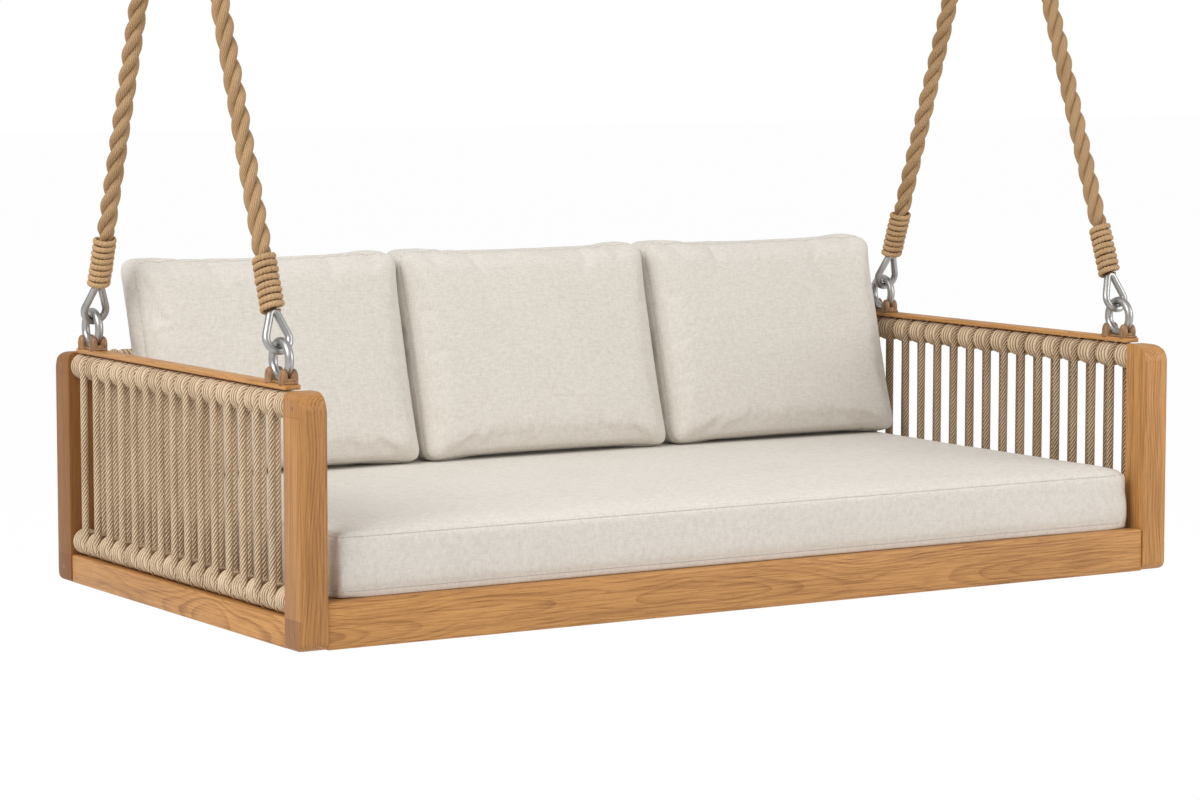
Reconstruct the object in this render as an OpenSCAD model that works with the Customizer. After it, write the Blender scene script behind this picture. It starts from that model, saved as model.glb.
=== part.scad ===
// Hanging swing bed: a teak daybed frame with rope-laced arms and back, hung on four laid ropes
// that meet in pairs at two ceiling plates. Millimetres. The origin lies on the ceiling, midway
// between the two plates. +Z is up, +Y points to the back of the bed, and left and right are as
// seen from the front.

/* [Bed frame] */
// Overall width over the outer faces of the posts
bed_w = 2040; // [1700:10:2300]
// Overall depth over the outer faces of the posts
bed_d = 1100; // [950:10:1250]
// Height of the corner posts
post_h = 475; // [430:5:560]
// Width of a post, across the front
post_x = 57; // [56:1:70]
// Depth of a post, front to back
post_y = 64; // [62:1:80]
// Radius of the rounded top outer edge of a post
post_top_r = 38; // [10:1:48]
// Radius of the rounded bottom outer edge of a post
post_foot_r = 20; // [5:1:30]
// Radius of the rounded top edge of a post at the side of the bed
post_side_top_r = 16; // [6:1:24]
// Radius of the rounded bottom edge of a post at the side of the bed
post_side_foot_r = 8; // [4:1:16]
// Height of the front and back rails
rail_h = 88; // [80:1:110]
// Thickness of the front and back rails
rail_t = 38; // [34:1:40]
// How far the front and back rails stand behind the faces of the posts
rail_recess = 4; // [2:1:8]
// Height of the side rails
side_rail_h = 57; // [50:1:62]
// Thickness of the side rails
side_rail_t = 38; // [32:1:44]

/* [Arms and back] */
// Distance of the arm and back bars, and of the bolts, from the outer faces of the frame
bar_inset = 28; // [28:1:32]
// Height of the upper bars' axis above the foot of the posts
upper_bar_z = 447; // [400:1:450]
// Radius of the wooden core of a bar
core_r = 13; // [12:1:14]
// Radius of the cord wraps on a bar
wrap_r = 25; // [22:1:26]
// Radius of the lacing rope
lacing_r = 7.5; // [6:0.5:8]
// Rope drops on each arm
arm_drops = 15; // [8:1:18]
// Rope drops on the back
back_drops = 30; // [16:1:34]
// Width of the wooden cap on an arm
cap_w = 34; // [30:1:44]
// Thickness of the wooden cap on an arm
cap_t = 9.5; // [7:0.5:14]

/* [Slatted base] */
// Number of slats
slat_count = 15; // [9:1:19]
// Width of a slat
slat_w = 70; // [50:1:80]
// Thickness of a slat
slat_t = 18; // [15:1:22]
// Height of the slats' top above the foot of the posts
slat_top_z = 88; // [80:1:88]
// Width of the ledgers that carry the slats
ledger_w = 30; // [24:1:40]
// Height of the ledgers
ledger_h = 24; // [20:1:28]
// Width and height of the beam under the middle of the slats
beam_s = 44; // [36:1:48]

/* [Cushions] */
// Gap between an end of the seat cushion and the rope of the arm beside it
seat_end_gap = 39; // [10:1:80]
// Gap between the seat cushion and the rope of the back
seat_back_gap = 12; // [4:1:60]
// Thickness of the seat cushion at its edge
seat_t = 122; // [90:1:160]
// How far the middle of the seat cushion swells over its edge
seat_crown = 6; // [2:1:14]
// How far the seat cushion's front stands behind the frame's front
seat_setback = 46; // [30:1:70]
// How far the row of back cushions ends short of an end of the seat cushion
back_row_inset = 2.4; // [1:0.1:60]
// Height of a back cushion
back_h = 432; // [360:1:500]
// Thickness of a back cushion
back_t = 128; // [90:1:160]
// How far the top of a back cushion leans behind its foot
back_lean = 118; // [60:1:160]
// How far the middles of a back cushion's faces swell over its edges
back_crown = 18; // [4:1:24]
// Gap between two back cushions, and between soft parts and what carries them
soft_gap = 0.3; // [0.2:0.1:1]

/* [Suspension] */
// Height from a hanger ring's centre to the bar of the link at the ceiling
rope_rise = 1100; // [800:10:1600]
// Radius of the steel bar of the loops, links and bows
wire_r = 7.5; // [6:0.5:8]
// Radius of the thicker steel bar of the rings
ring_bar_r = 8.5; // [7.5:0.5:8.5]
// Radius to the middle of the bar of a hanger ring
ring_r = 33.5; // [31:0.5:34]
// Height of a hanger ring's centre above the cap
ring_rise = 43; // [42.5:0.5:46]
// Play between two linked pieces of bar
link_gap = 0.8; // [0.5:0.1:1.2]
// Radius to the middle of the bar of a loop's wide end
loop_r = 23.5; // [22:0.5:26]
// Distance between the centres of a loop's wide and narrow ends
loop_l = 45.3; // [44:0.1:50]
// Radius of a hanging rope
rope_r = 19; // [17:0.5:19]
// Turns of the whipping at the foot of a rope
whip_turns = 9; // [6:1:11]
// Rise of one turn of the whipping
whip_pitch = 13.1; // [13:0.1:14]
// Half height of the whipping cord's flattened section
whip_rise_r = 5.9; // [5:0.1:6]
// Half thickness of the whipping cord's flattened section
whip_out_r = 3.7; // [3:0.1:4.5]

/* [Ceiling plates] */
// Width of a ceiling plate
plate_w = 72; // [64:1:90]
// Length of a ceiling plate
plate_l = 160; // [150:1:200]
// Thickness of a ceiling plate
plate_t = 8; // [6:0.5:12]
// Distance between the two screw holes of a plate
hole_spacing = 120; // [104:1:130]
// Radius of a screw hole
hole_r = 5.5; // [4:0.5:7]
// Radius to the middle of the bar of a plate's bow
bow_r = 22; // [20:0.5:25]
// Depth of the bow's bar, at its middle, below the ceiling
bow_drop = 60; // [58:1:80]
// Height of the link between the bow and the two rope eyes
link_h = 75; // [70:1:90]
// Distance of each rope eye from the middle of the link
eye_y = 18; // [16:0.5:20]

/* [Hidden] */

TEAK = [0.74, 0.50, 0.28];
DARK_WOOD = [0.50, 0.30, 0.16];
ROPE = [0.76, 0.62, 0.43];
STEEL = [0.72, 0.73, 0.74];
LINEN = [0.87, 0.84, 0.78];

$fn = 48;
fit_gap = 0.3;
left = -1;
right = 1;
front = -1;
back = 1;

// Drops of the lacing rope, evenly spaced between the posts
inner_x = bed_w / 2 - post_x;
inner_y = bed_d / 2 - post_y;
arm_pitch = 2 * inner_y / (arm_drops + 1);
back_pitch = 2 * inner_x / (back_drops + 1);

// Places along the suspension: a hanger stands over the first drop from each post
arm_x = bed_w / 2 - bar_inset;
hanger_y = inner_y - arm_pitch;
link_bar_z = -bow_drop - link_h;
ring_z = link_bar_z - rope_rise;
rope_angle = atan2(hanger_y - eye_y, rope_rise);
rope_span = norm([hanger_y - eye_y, rope_rise]);
link_step = 2 * wire_r + link_gap;

// Heights in the bed's own frame, whose zero is the foot of the posts
lacing_reach = core_r + 2 * lacing_r;
cap_z = upper_bar_z + lacing_reach + fit_gap;
cap_top_z = cap_z + cap_t;
lower_bar_z = side_rail_h + lacing_reach + fit_gap;
back_lower_bar_z = rail_h + lacing_reach + fit_gap;
foot_z = ring_z - ring_rise - cap_top_z;
bolt_z = 29;

// Joints between the rails, bars and posts
rail_y = bed_d / 2 - rail_recess;
bar_y = bed_d / 2 - bar_inset;
lacing_play = 0.1;
tenon_t = 18;
rail_tenon_l = 28;
side_tenon_l = 24;
tenon_foot = 14;
rail_tenon_h = 48;
side_tenon_h = side_rail_h - 2 * tenon_foot + 4;
bar_tenon = 14;
front_bar_tenon = 44;
lower_bar_tenon = 28;
bolt_r = 3;
bolt_head_r = 4.8;
bolt_head_l = 6;
bolt_bore_r = 5;
bolt_grip = 70;
plug_l = 8;
bolt_end = plug_l + bolt_head_l + bolt_grip;
peg_l = 40;
side_rail_out = bed_w / 2 - 2;
side_rail_in = side_rail_out - side_rail_t;
side_rail_mid = side_rail_out - side_rail_t / 2;

// Slatted base
slat_z = slat_top_z - slat_t;
slat_margin = 20;
beam_clearance = 3;
beam_z = slat_z - beam_s;
beam_tongue = 12;

// Saddles under the rings
saddle_w = 26;
saddle_base_t = 5;
saddle_half = 46;
saddle_block_h = 10;
horn_r = 8.5;
horn_x = ring_bar_r + 2;
horn_y = 28;
horn_h = 28;
saddle_bolt_y = 33;
saddle_bolt_r = 3;
saddle_bolt_up = 8;
saddle_head_sink = 3;
saddle_head_l = 5;
saddle_head_r = 5.5;
saddle_head_z = upper_bar_z - core_r + saddle_head_sink - cap_top_z - ring_rise;

// Rope ends: the loop's foot hangs in the top of the ring, and the whipping starts where the
// loop's two legs have come together
loop_foot = -(ring_bar_r + wire_r + link_gap);
loop_wide = loop_foot + loop_r;
loop_narrow_r = wire_r + 0.1;
loop_narrow = loop_wide + loop_l;
whip_rise = 2;
whip_foot = loop_narrow + whip_rise;
whip_rings = 11;
whip_sides = 6;
whip_bore_r = 2 * wire_r + 0.7;
whip_core_r = whip_bore_r / cos(180 / whip_rings);
whip_mid_r = whip_core_r + whip_out_r;
whip_full = (whip_turns - 1) * 360 + 60;
whip_top = whip_foot + 2 * whip_rise_r + whip_pitch * whip_full / 360;
rope_foot = loop_narrow + loop_narrow_r + wire_r + fit_gap;
rope_core_r = whip_bore_r - fit_gap;
rope_swell = 14;
eye_r = 20;
neck_r = 9;
neck_l = 14;
neck_sink = 4;
socket_lip = 3;
socket_wall = 4.5;
socket_l = 62;
socket_floor = 12;
eye_mid = rope_span - ring_r - eye_r + link_step / cos(rope_angle);
socket_top = eye_mid - eye_r - neck_l;
rope_top = socket_top - socket_floor - fit_gap;
rope_rings = 11;
rope_sides = 12;

function closed(i, n) = i % n;

// A triangle mesh over equal rings of points, capped by a fan at each end
function tube_faces(rings, sides) = [
    for (i = [0:rings - 2], j = [0:sides - 1])
        let (a = i * sides + j, b = i * sides + closed(j + 1, sides), c = a + sides, d = b + sides)
            each [[a, c, d], [a, d, b]],
    for (j = [0:sides - 1]) [rings * sides, j, closed(j + 1, sides)],
    for (j = [0:sides - 1])
        [rings * sides + 1, (rings - 1) * sides + closed(j + 1, sides), (rings - 1) * sides + j],
];

module ring_mesh(rings, first, last) {
    sides = len(rings[0]);
    points = concat([for (ring = rings) each ring], [first, last]);
    polyhedron(points, tube_faces(len(rings), sides), convexity = 6);
}

// A closed loop of round bar in the XY plane, pulled tight round circles [x, y, radius]. Its
// straight bars are a hair thinner than its arcs and reach a little way into them.
loop_lap = 0.8;
loop_ease = 0.05;
function tangent_angle(a, b) =
    atan2(b.y - a.y, b.x - a.x) - acos((a.z - b.z) / norm([b.x - a.x, b.y - a.y]));
function on_circle(c, angle) = [c.x + c.z * cos(angle), c.y + c.z * sin(angle), 0];

module bar_between(p, q, r) {
    d = q - p;
    translate(p)
        rotate([0, acos(d.z / norm(d)), atan2(d.y, d.x)])
            cylinder(r = r, h = norm(d));
}

module bar_arc(c, from, sweep, r) {
    translate([c.x, c.y, 0])
        rotate([0, 0, from])
            rotate_extrude(angle = sweep)
                translate([c.z, 0])
                    circle(r = r);
}

module bar_loop(circles, r) {
    n = len(circles);
    for (i = [0:n - 1]) {
        here = circles[i];
        next = circles[closed(i + 1, n)];
        last = circles[closed(i + n - 1, n)];
        turn_in = tangent_angle(last, here);
        turn_out = tangent_angle(here, next);
        from = on_circle(here, turn_out);
        to = on_circle(next, turn_out);
        lap = loop_lap * (to - from) / norm(to - from);
        bar_arc(here, turn_in, (turn_out - turn_in + 720) % 360, r);
        bar_between(from - lap, to + lap, r - loop_ease);
    }
}

// Turns the XY plane into the YZ plane, and into the XZ plane
module in_yz() { rotate([90, 0, 90]) children(); }
module in_xz() { rotate([90, 0, 0]) children(); }

// Places: the bed's frame, one arm's bar line, and one hanger's rope line with +Z up the rope
module on_bed() { translate([0, 0, foot_z]) children(); }
module at_arm(side) { translate([side * arm_x, 0, 0]) children(); }
module at_ring(side, end) { translate([side * arm_x, end * hanger_y, ring_z]) children(); }
module on_rope(side, end) {
    at_ring(side, end)
        rotate([end * rope_angle, 0, 0])
            translate([0, 0, ring_r])
                children();
}

// Ceiling plate with its welded bow
module ceiling_plate(side) {
    half = (plate_l - plate_w) / 2;
    color(STEEL)
        at_arm(side) {
            difference() {
                translate([0, 0, -plate_t])
                    linear_extrude(plate_t)
                        union() {
                            square([plate_w, 2 * half], center = true);
                            for (y = [-half, half])
                                translate([0, y])
                                    circle(r = plate_w / 2);
                        }
                for (y = [-hole_spacing / 2, hole_spacing / 2])
                    translate([0, y, -plate_t - 1])
                        cylinder(r = hole_r, h = plate_t + 2);
            }
            in_xz() {
                bar_arc([0, bow_r - bow_drop, bow_r], 180, 180, wire_r);
                for (x = [-bow_r, bow_r])
                    bar_between([x, bow_r - bow_drop, 0], [x, -plate_t, 0], wire_r);
            }
        }
}

// Three-cornered link: its round top hangs in the bow and its straight foot carries two rope eyes
module ceiling_link(side) {
    corner_r = 14;
    corner_out = 12;
    corner_y = eye_y + corner_out;
    corner_z = link_bar_z + corner_r;
    color(STEEL)
        at_arm(side)
            in_yz()
                bar_loop([
                    [-corner_y, corner_z, corner_r],
                    [corner_y, corner_z, corner_r],
                    [0, -bow_drop, link_step],
                ], wire_r);
}

// Forged eye with the socket that holds the top of a rope
module eye_socket(side, end) {
    outer_r = rope_r + fit_gap + socket_wall;
    color(STEEL)
        on_rope(side, end) {
            translate([0, 0, eye_mid])
                in_xz()
                    bar_arc([0, 0, eye_r], 0, 360, wire_r);
            translate([0, 0, socket_top - neck_sink])
                cylinder(r = neck_r, h = neck_l + neck_sink);
            translate([0, 0, socket_top])
                rotate_extrude()
                    polygon([
                        [0, 0], [neck_r + socket_lip, 0], [outer_r, -socket_floor], [outer_r, -socket_l],
                        [rope_r + fit_gap, -socket_l], [rope_r + fit_gap, -socket_floor],
                        [0, -socket_floor],
                    ]);
        }
}

// Laid rope as a plain tube: slim inside its whipping, full above it
module hanging_rope(side, end) {
    slim = [[rope_foot, rope_core_r], [whip_top, rope_core_r]];
    full_z = whip_top + rope_swell;
    step = (rope_top - full_z) / (rope_rings - 1);
    full = [for (i = [0:rope_rings - 1]) [full_z + step * i, rope_r]];
    rings = [
        for (s = concat(slim, full))
            [for (j = [0:rope_sides - 1])
                [s[1] * cos(360 * j / rope_sides), s[1] * sin(360 * j / rope_sides), s[0]]]
    ];
    color(ROPE)
        on_rope(side, end)
            ring_mesh(rings, [0, 0, rope_foot], [0, 0, rope_top]);
}

// Whipping: one unbroken flattened cord, wound round the rope's end, its two ends running on
// straight for one cord's width
function whip_point(a) = [
    whip_mid_r * cos(a), whip_mid_r * sin(a), whip_foot + whip_rise_r + whip_pitch * a / 360];
function whip_run(a) = [-sin(a), cos(a), whip_pitch / (2 * PI * whip_mid_r)];
function whip_ring(p, a) = [
    for (j = [0:whip_sides - 1])
        let (b = 360 * j / whip_sides, out = whip_out_r * cos(b), up = -whip_rise_r * sin(b))
            p + [out * cos(a), out * sin(a), up]];

module whipping(side, end) {
    steps = ceil(whip_full * whip_rings / 360);
    tail = whip_rise_r * 2;
    first = whip_point(0) - tail * whip_run(0);
    last = whip_point(whip_full) + tail * whip_run(whip_full);
    turns = [for (i = [0:steps]) let (a = whip_full * i / steps) whip_ring(whip_point(a), a)];
    rings = concat([whip_ring(first, 0)], turns, [whip_ring(last, whip_full)]);
    color(ROPE)
        on_rope(side, end)
            ring_mesh(rings, first, last);
}

// Least distance from one place on the cord to the turn above it
whip_here = whip_ring(whip_point(0), 0);
whip_above = [for (a = [180:5:540]) each whip_ring(whip_point(a), a)];
whip_least_gap = min([for (p = whip_here, q = whip_above) norm(q - p)]);
echo(whipping_least_gap = whip_least_gap);

// Pear-shaped loop at the foot of a rope
module rope_loop(side, end) {
    color(STEEL)
        on_rope(side, end)
            in_xz()
                bar_loop([[0, loop_wide, loop_r], [0, loop_narrow, loop_narrow_r]], wire_r);
}

// Round ring that stands on an arm
module hanger_ring(side, end) {
    color(STEEL)
        at_ring(side, end)
            in_yz()
                bar_arc([0, 0, ring_r], 0, 360, ring_bar_r);
}

// Hardwood saddle: two pairs of horns grip the foot of the ring from both sides
module ring_saddle(side, end) {
    straight = saddle_half - saddle_w / 2;
    color(DARK_WOOD)
        at_ring(side, end)
            difference() {
                translate([0, 0, -ring_rise])
                    union() {
                        linear_extrude(saddle_base_t)
                            union() {
                                square([saddle_w, 2 * straight], center = true);
                                for (y = [-straight, straight])
                                    translate([0, y])
                                        circle(r = saddle_w / 2);
                            }
                        for (y = [-horn_y, horn_y]) {
                            translate([0, y, 0])
                                cylinder(r = saddle_w / 2, h = saddle_block_h);
                            for (x = [-horn_x, horn_x])
                                translate([x, y, 0]) {
                                    cylinder(r = horn_r, h = horn_h - horn_r);
                                    translate([0, 0, horn_h - horn_r])
                                        sphere(r = horn_r);
                                }
                        }
                    }
                in_yz()
                    bar_arc([0, 0, ring_r], 0, 360, ring_bar_r + 0.1);
                saddle_bolt_holes();
            }
}

// The two bolts of a saddle, and the holes for them, in the ring's own frame
module saddle_bolt_holes() {
    foot = saddle_head_z - wrap_r;
    for (y = [-saddle_bolt_y, saddle_bolt_y])
        translate([0, y, foot]) {
            cylinder(r = saddle_bolt_r + 0.1, h = saddle_bolt_up - ring_rise - foot);
            cylinder(r = saddle_head_r + fit_gap, h = saddle_head_z - foot);
        }
}

module saddle_bolts() {
    color(STEEL)
        for (side = [left, right], end = [front, back], y = [-saddle_bolt_y, saddle_bolt_y])
            at_ring(side, end)
                translate([0, y, saddle_head_z]) {
                    cylinder(r = saddle_bolt_r, h = saddle_bolt_up - ring_rise - saddle_head_z);
                    translate([0, 0, -saddle_head_l])
                        cylinder(r = saddle_head_r, h = saddle_head_l);
                }
}

// Holes of both saddles of one arm
module arm_saddle_holes(side) {
    for (end = [front, back])
        at_ring(side, end)
            saddle_bolt_holes();
}

// The front left corner's shapes, mirrored to the other corners
module at_corner(side, end) {
    on_bed()
        mirror([side == right ? 1 : 0, 0, 0])
            mirror([0, end == back ? 1 : 0, 0])
                children();
}

module box_between(a, b) {
    translate(a)
        cube(b - a);
}

module rail_tenon(play) {
    box_between(
        [-inner_x - rail_tenon_l, -bar_y - tenon_t / 2, tenon_foot],
        [-inner_x + play, -bar_y + tenon_t / 2, tenon_foot + rail_tenon_h]);
}

module side_tenon(play) {
    box_between(
        [-side_rail_mid - tenon_t / 2, -inner_y - side_tenon_l, tenon_foot - 2],
        [-side_rail_mid + tenon_t / 2, -inner_y + play, tenon_foot - 2 + side_tenon_h]);
}

// Round hole or pin along X, measured from the outer side face of a post
module from_side(z, from, to, r) {
    translate([-bed_w / 2 + from, -bar_y, z])
        rotate([0, 90, 0])
            cylinder(r = r, h = to - from);
}

// Ends of the round bars in a post
module arm_bar_end(z, depth) {
    translate([-arm_x, -inner_y - depth, z])
        rotate([-90, 0, 0])
            cylinder(r = core_r, h = depth + 1);
}

module back_bar_end(z) {
    translate([-inner_x - bar_tenon, -bar_y, z])
        rotate([0, 90, 0])
            cylinder(r = core_r, h = bar_tenon + 1);
}

// Outline of a post seen along X or Y, w wide: the outer edge is rounded at the top and the foot
module edge_round(z, middle, r) {
    difference() {
        translate([-1, z])
            square([r + 1, r + 1]);
        translate([r, middle])
            circle(r = r, $fn = 72);
    }
}

module post_profile(w, top_r, foot_r) {
    difference() {
        square([w, post_h]);
        edge_round(post_h - top_r, post_h - top_r, top_r);
        edge_round(-1, foot_r, foot_r);
    }
}

module corner_post(side, end) {
    color(TEAK)
        at_corner(side, end)
            difference() {
                translate([-bed_w / 2, -bed_d / 2, 0])
                    intersection() {
                        in_yz()
                            linear_extrude(post_x)
                                post_profile(post_y, post_top_r, post_foot_r);
                        translate([0, post_y, 0])
                            in_xz()
                                linear_extrude(post_y)
                                    post_profile(post_x, post_side_top_r, post_side_foot_r);
                    }
                rail_tenon(1);
                side_tenon(1);
                from_side(bolt_z, -1, plug_l + bolt_head_l, bolt_bore_r);
                from_side(bolt_z, 0, post_x + 1, bolt_r + 0.2);
                arm_bar_end(upper_bar_z, end == front ? front_bar_tenon : bar_tenon);
                arm_bar_end(lower_bar_z, end == front ? lower_bar_tenon : bar_tenon);
                if (end == front)
                    from_side(upper_bar_z, -1, peg_l, bolt_bore_r);
                if (end == back) {
                    from_side(upper_bar_z, -1, plug_l + bolt_head_l, bolt_bore_r);
                    from_side(upper_bar_z, 0, post_x + 1, bolt_r + 0.2);
                    back_bar_end(upper_bar_z);
                    back_bar_end(back_lower_bar_z);
                }
            }
}

// Front or back rail with its tenons, bored for the bolts that come through the posts
module long_rail(end) {
    color(TEAK)
        difference() {
            union() {
                at_corner(left, end)
                    box_between([-inner_x, -rail_y, 0], [inner_x, -rail_y + rail_t, rail_h]);
                for (side = [left, right])
                    at_corner(side, end)
                        rail_tenon(0);
            }
            for (side = [left, right])
                at_corner(side, end)
                    from_side(bolt_z, post_x - rail_tenon_l - 1, bolt_end, bolt_r);
        }
}

// Side rail with its tenons and the notch for the tongue of the middle beam
module side_rail(side) {
    color(TEAK)
        difference() {
            union() {
                at_corner(side, front)
                    box_between(
                        [-side_rail_out, -inner_y, 0],
                        [-side_rail_in, inner_y, side_rail_h]);
                for (end = [front, back])
                    at_corner(side, end)
                        side_tenon(0);
            }
            at_corner(side, front)
                box_between(
                    [-side_rail_in - beam_tongue, -beam_s / 2, beam_z],
                    [-side_rail_in + 1, beam_s / 2, side_rail_h + 1]);
        }
}

// An arm's two round bars, under the wraps
module arm_bar(side, z, front_depth) {
    on_bed()
        at_arm(side)
            translate([0, -inner_y - front_depth, z])
                rotate([-90, 0, 0])
                    cylinder(r = core_r, h = 2 * inner_y + front_depth + bar_tenon);
}

module arm_bars(side) {
    color(TEAK)
        difference() {
            union() {
                arm_bar(side, upper_bar_z, front_bar_tenon);
                arm_bar(side, lower_bar_z, lower_bar_tenon);
            }
            arm_saddle_holes(side);
            at_corner(side, front)
                from_side(upper_bar_z, 0, peg_l, bolt_bore_r);
        }
}

module back_bars() {
    half = inner_x + bar_tenon;
    color(TEAK)
        difference() {
            on_bed()
                for (z = [back_lower_bar_z, upper_bar_z])
                    translate([-half, bar_y, z])
                        rotate([0, 90, 0])
                            cylinder(r = core_r, h = 2 * half);
            for (side = [left, right])
                at_corner(side, back)
                    from_side(upper_bar_z, 0, bolt_end, bolt_r);
        }
}

// Wooden cap on an arm, from saddle to saddle
module arm_cap(side) {
    half = hanger_y + saddle_half;
    color(TEAK)
        difference() {
            on_bed()
                at_arm(side)
                    box_between([-cap_w / 2, -half, cap_z], [cap_w / 2, half, cap_top_z]);
            arm_saddle_holes(side);
        }
}

// Cord wraps: one band of a bar along Z, and the row of bands between the rope drops
module wrap_band(l) {
    ease = 2.5;
    bore = core_r + fit_gap / 2;
    rotate_extrude()
        polygon([
            [bore, 0], [wrap_r - ease, 0], [wrap_r - ease / 4, ease / 2], [wrap_r, ease * 1.5],
            [wrap_r, l - ease * 1.5], [wrap_r - ease / 4, l - ease / 2], [wrap_r - ease, l],
            [bore, l],
        ]);
}

module wrap_row(drops, pitch) {
    rope_room = lacing_r + fit_gap;
    for (i = [0:drops]) {
        from = i == 0 ? fit_gap : i * pitch + rope_room;
        to = i == drops ? (drops + 1) * pitch - fit_gap : (i + 1) * pitch - rope_room;
        translate([0, 0, from])
            wrap_band(to - from);
    }
}

module arm_wraps(side) {
    color(ROPE)
        difference() {
            on_bed()
                at_arm(side)
                    for (z = [lower_bar_z, upper_bar_z])
                        translate([0, -inner_y, z])
                            rotate([-90, 0, 0])
                                wrap_row(arm_drops, arm_pitch);
            arm_saddle_holes(side);
        }
}

module back_wraps() {
    color(ROPE)
        on_bed()
            for (z = [back_lower_bar_z, upper_bar_z])
                translate([-inner_x, bar_y, z])
                    rotate([0, 90, 0])
                        wrap_row(back_drops, back_pitch);
}

// One turn of the lacing rope round the lower and the upper bar
module lacing_turn(low, high) {
    turn_r = core_r + lacing_r + lacing_play;
    in_xz()
        bar_loop([[0, low, turn_r], [0, high, turn_r]], lacing_r);
}

module arm_lacing(side) {
    color(ROPE)
        on_bed()
            at_arm(side)
                for (i = [1:arm_drops])
                    translate([0, i * arm_pitch - inner_y, 0])
                        lacing_turn(lower_bar_z, upper_bar_z);
}

module back_lacing() {
    color(ROPE)
        on_bed()
            for (i = [1:back_drops])
                translate([i * back_pitch - inner_x, bar_y, 0])
                    rotate([0, 0, 90])
                        lacing_turn(back_lower_bar_z, upper_bar_z);
}

// Bolts through the posts into the rails and the upper back bar, the plugs over their heads, and
// the pegs that lock the arms' upper bars in the front posts
module bolt_spots() {
    for (side = [left, right]) {
        for (end = [front, back])
            at_corner(side, end)
                translate([0, 0, bolt_z])
                    children();
        at_corner(side, back)
            translate([0, 0, upper_bar_z])
                children();
    }
}

module frame_bolts() {
    color(STEEL)
        bolt_spots() {
            from_side(0, plug_l, plug_l + bolt_head_l, bolt_head_r);
            from_side(0, plug_l + bolt_head_l, bolt_end, bolt_r);
        }
}

module bolt_plugs() {
    color(DARK_WOOD)
        bolt_spots()
            from_side(0, 0, plug_l, bolt_bore_r);
}

module bar_pegs() {
    color(DARK_WOOD)
        for (side = [left, right])
            at_corner(side, front)
                from_side(upper_bar_z, 0, peg_l, bolt_bore_r);
}

// Slats, the ledgers that carry their ends and the beam under their middles
module slats() {
    span = 2 * inner_x - slat_w - 2 * slat_margin;
    half = rail_y - rail_t - fit_gap;
    color(TEAK)
        on_bed()
            for (i = [0:slat_count - 1])
                translate([i * span / (slat_count - 1) - span / 2, 0, slat_z])
                    box_between([-slat_w / 2, -half, 0], [slat_w / 2, half, slat_t]);
}

module slat_ledgers() {
    color(TEAK)
        for (end = [front, back])
            at_corner(left, end)
                box_between(
                    [-inner_x, -rail_y + rail_t, slat_z - ledger_h],
                    [inner_x, -rail_y + rail_t + ledger_w, slat_z]);
}

module centre_beam() {
    tongue = side_rail_in + beam_tongue;
    shoulder = arm_x - lacing_reach - beam_clearance;
    color(TEAK)
        on_bed() {
            box_between([-shoulder, -beam_s / 2, beam_z], [shoulder, beam_s / 2, slat_z]);
            box_between(
                [-tongue, -beam_s / 2, beam_z],
                [tongue, beam_s / 2, side_rail_h - 1]);
        }
}

// Outline of a cushion, w by h about its middle: corners of radius r, and sides that draw in
// between them
side_steps = 4;
corner_steps = 3;
function corner_mid(w, h, r, q) = [
    (q == 0 || q == 3 ? 1 : -1) * (w / 2 - r), (q < 2 ? 1 : -1) * (h / 2 - r)];
function cushion_side(from, to, inward, draw) = [
    for (i = [1:side_steps])
        let (s = i / (side_steps + 1))
            from + s * (to - from) + inward * draw * 4 * s * (1 - s)];
function cushion_outline(w, h, r, draw) = [
    for (q = [0:3])
        let (
            c = corner_mid(w, h, r, q),
            n = corner_mid(w, h, r, (q + 1) % 4),
            out = [cos(90 * q + 90), sin(90 * q + 90)])
            each concat(
                [for (i = [0:corner_steps])
                    let (a = 90 * (q + i / corner_steps)) c + r * [cos(a), sin(a)]],
                cushion_side(c + r * out, n + r * out, -out, draw))];

// Rings of a cushion from its lower face to its upper one, each given by its inset and height:
// under and over are how far the middles of the two faces stand out
edge_inset = 26;
edge_steps = [[10, 2.5], [2, 10]];
side_bulge = 2;
least_corner_r = 6;
function cushion_levels(t, under, over, flat) =
    let (middle = (edge_inset + flat) / 2)
        concat(
            [[flat, -under], [middle, -under * 0.7], [edge_inset, 0]],
            edge_steps,
            [[-side_bulge, t / 2]],
            [for (i = [1:-1:0]) [edge_steps[i][0], t - edge_steps[i][1]]],
            [[edge_inset, t], [middle, t + over * 0.7], [flat, t + over]]);
function cushion_rings(w, h, t, r, draw, under, over, flat) = [
    for (level = cushion_levels(t, under, over, flat))
        let (inset = level[0], corner = max(r - inset / 2, least_corner_r))
            [for (p = cushion_outline(w - 2 * inset, h - 2 * inset, corner, draw))
                [p.x, p.y, level[1]]]];

seat_l = 2 * (arm_x - lacing_reach - seat_end_gap);
seat_depth = bed_d / 2 + bar_y - lacing_reach - seat_back_gap - seat_setback;
seat_y = seat_setback + seat_depth / 2 - bed_d / 2;
seat_z = slat_top_z + soft_gap;
seat_corner_r = 24;
seat_draw = 5;
seat_plateau = 100;

module seat_cushion() {
    rings = cushion_rings(
        seat_l, seat_depth, seat_t, seat_corner_r, seat_draw, 0, seat_crown, seat_plateau);
    color(LINEN)
        on_bed()
            translate([0, seat_y, seat_z])
                ring_mesh(rings, [0, 0, 0], [0, 0, seat_t + seat_crown]);
}

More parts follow.
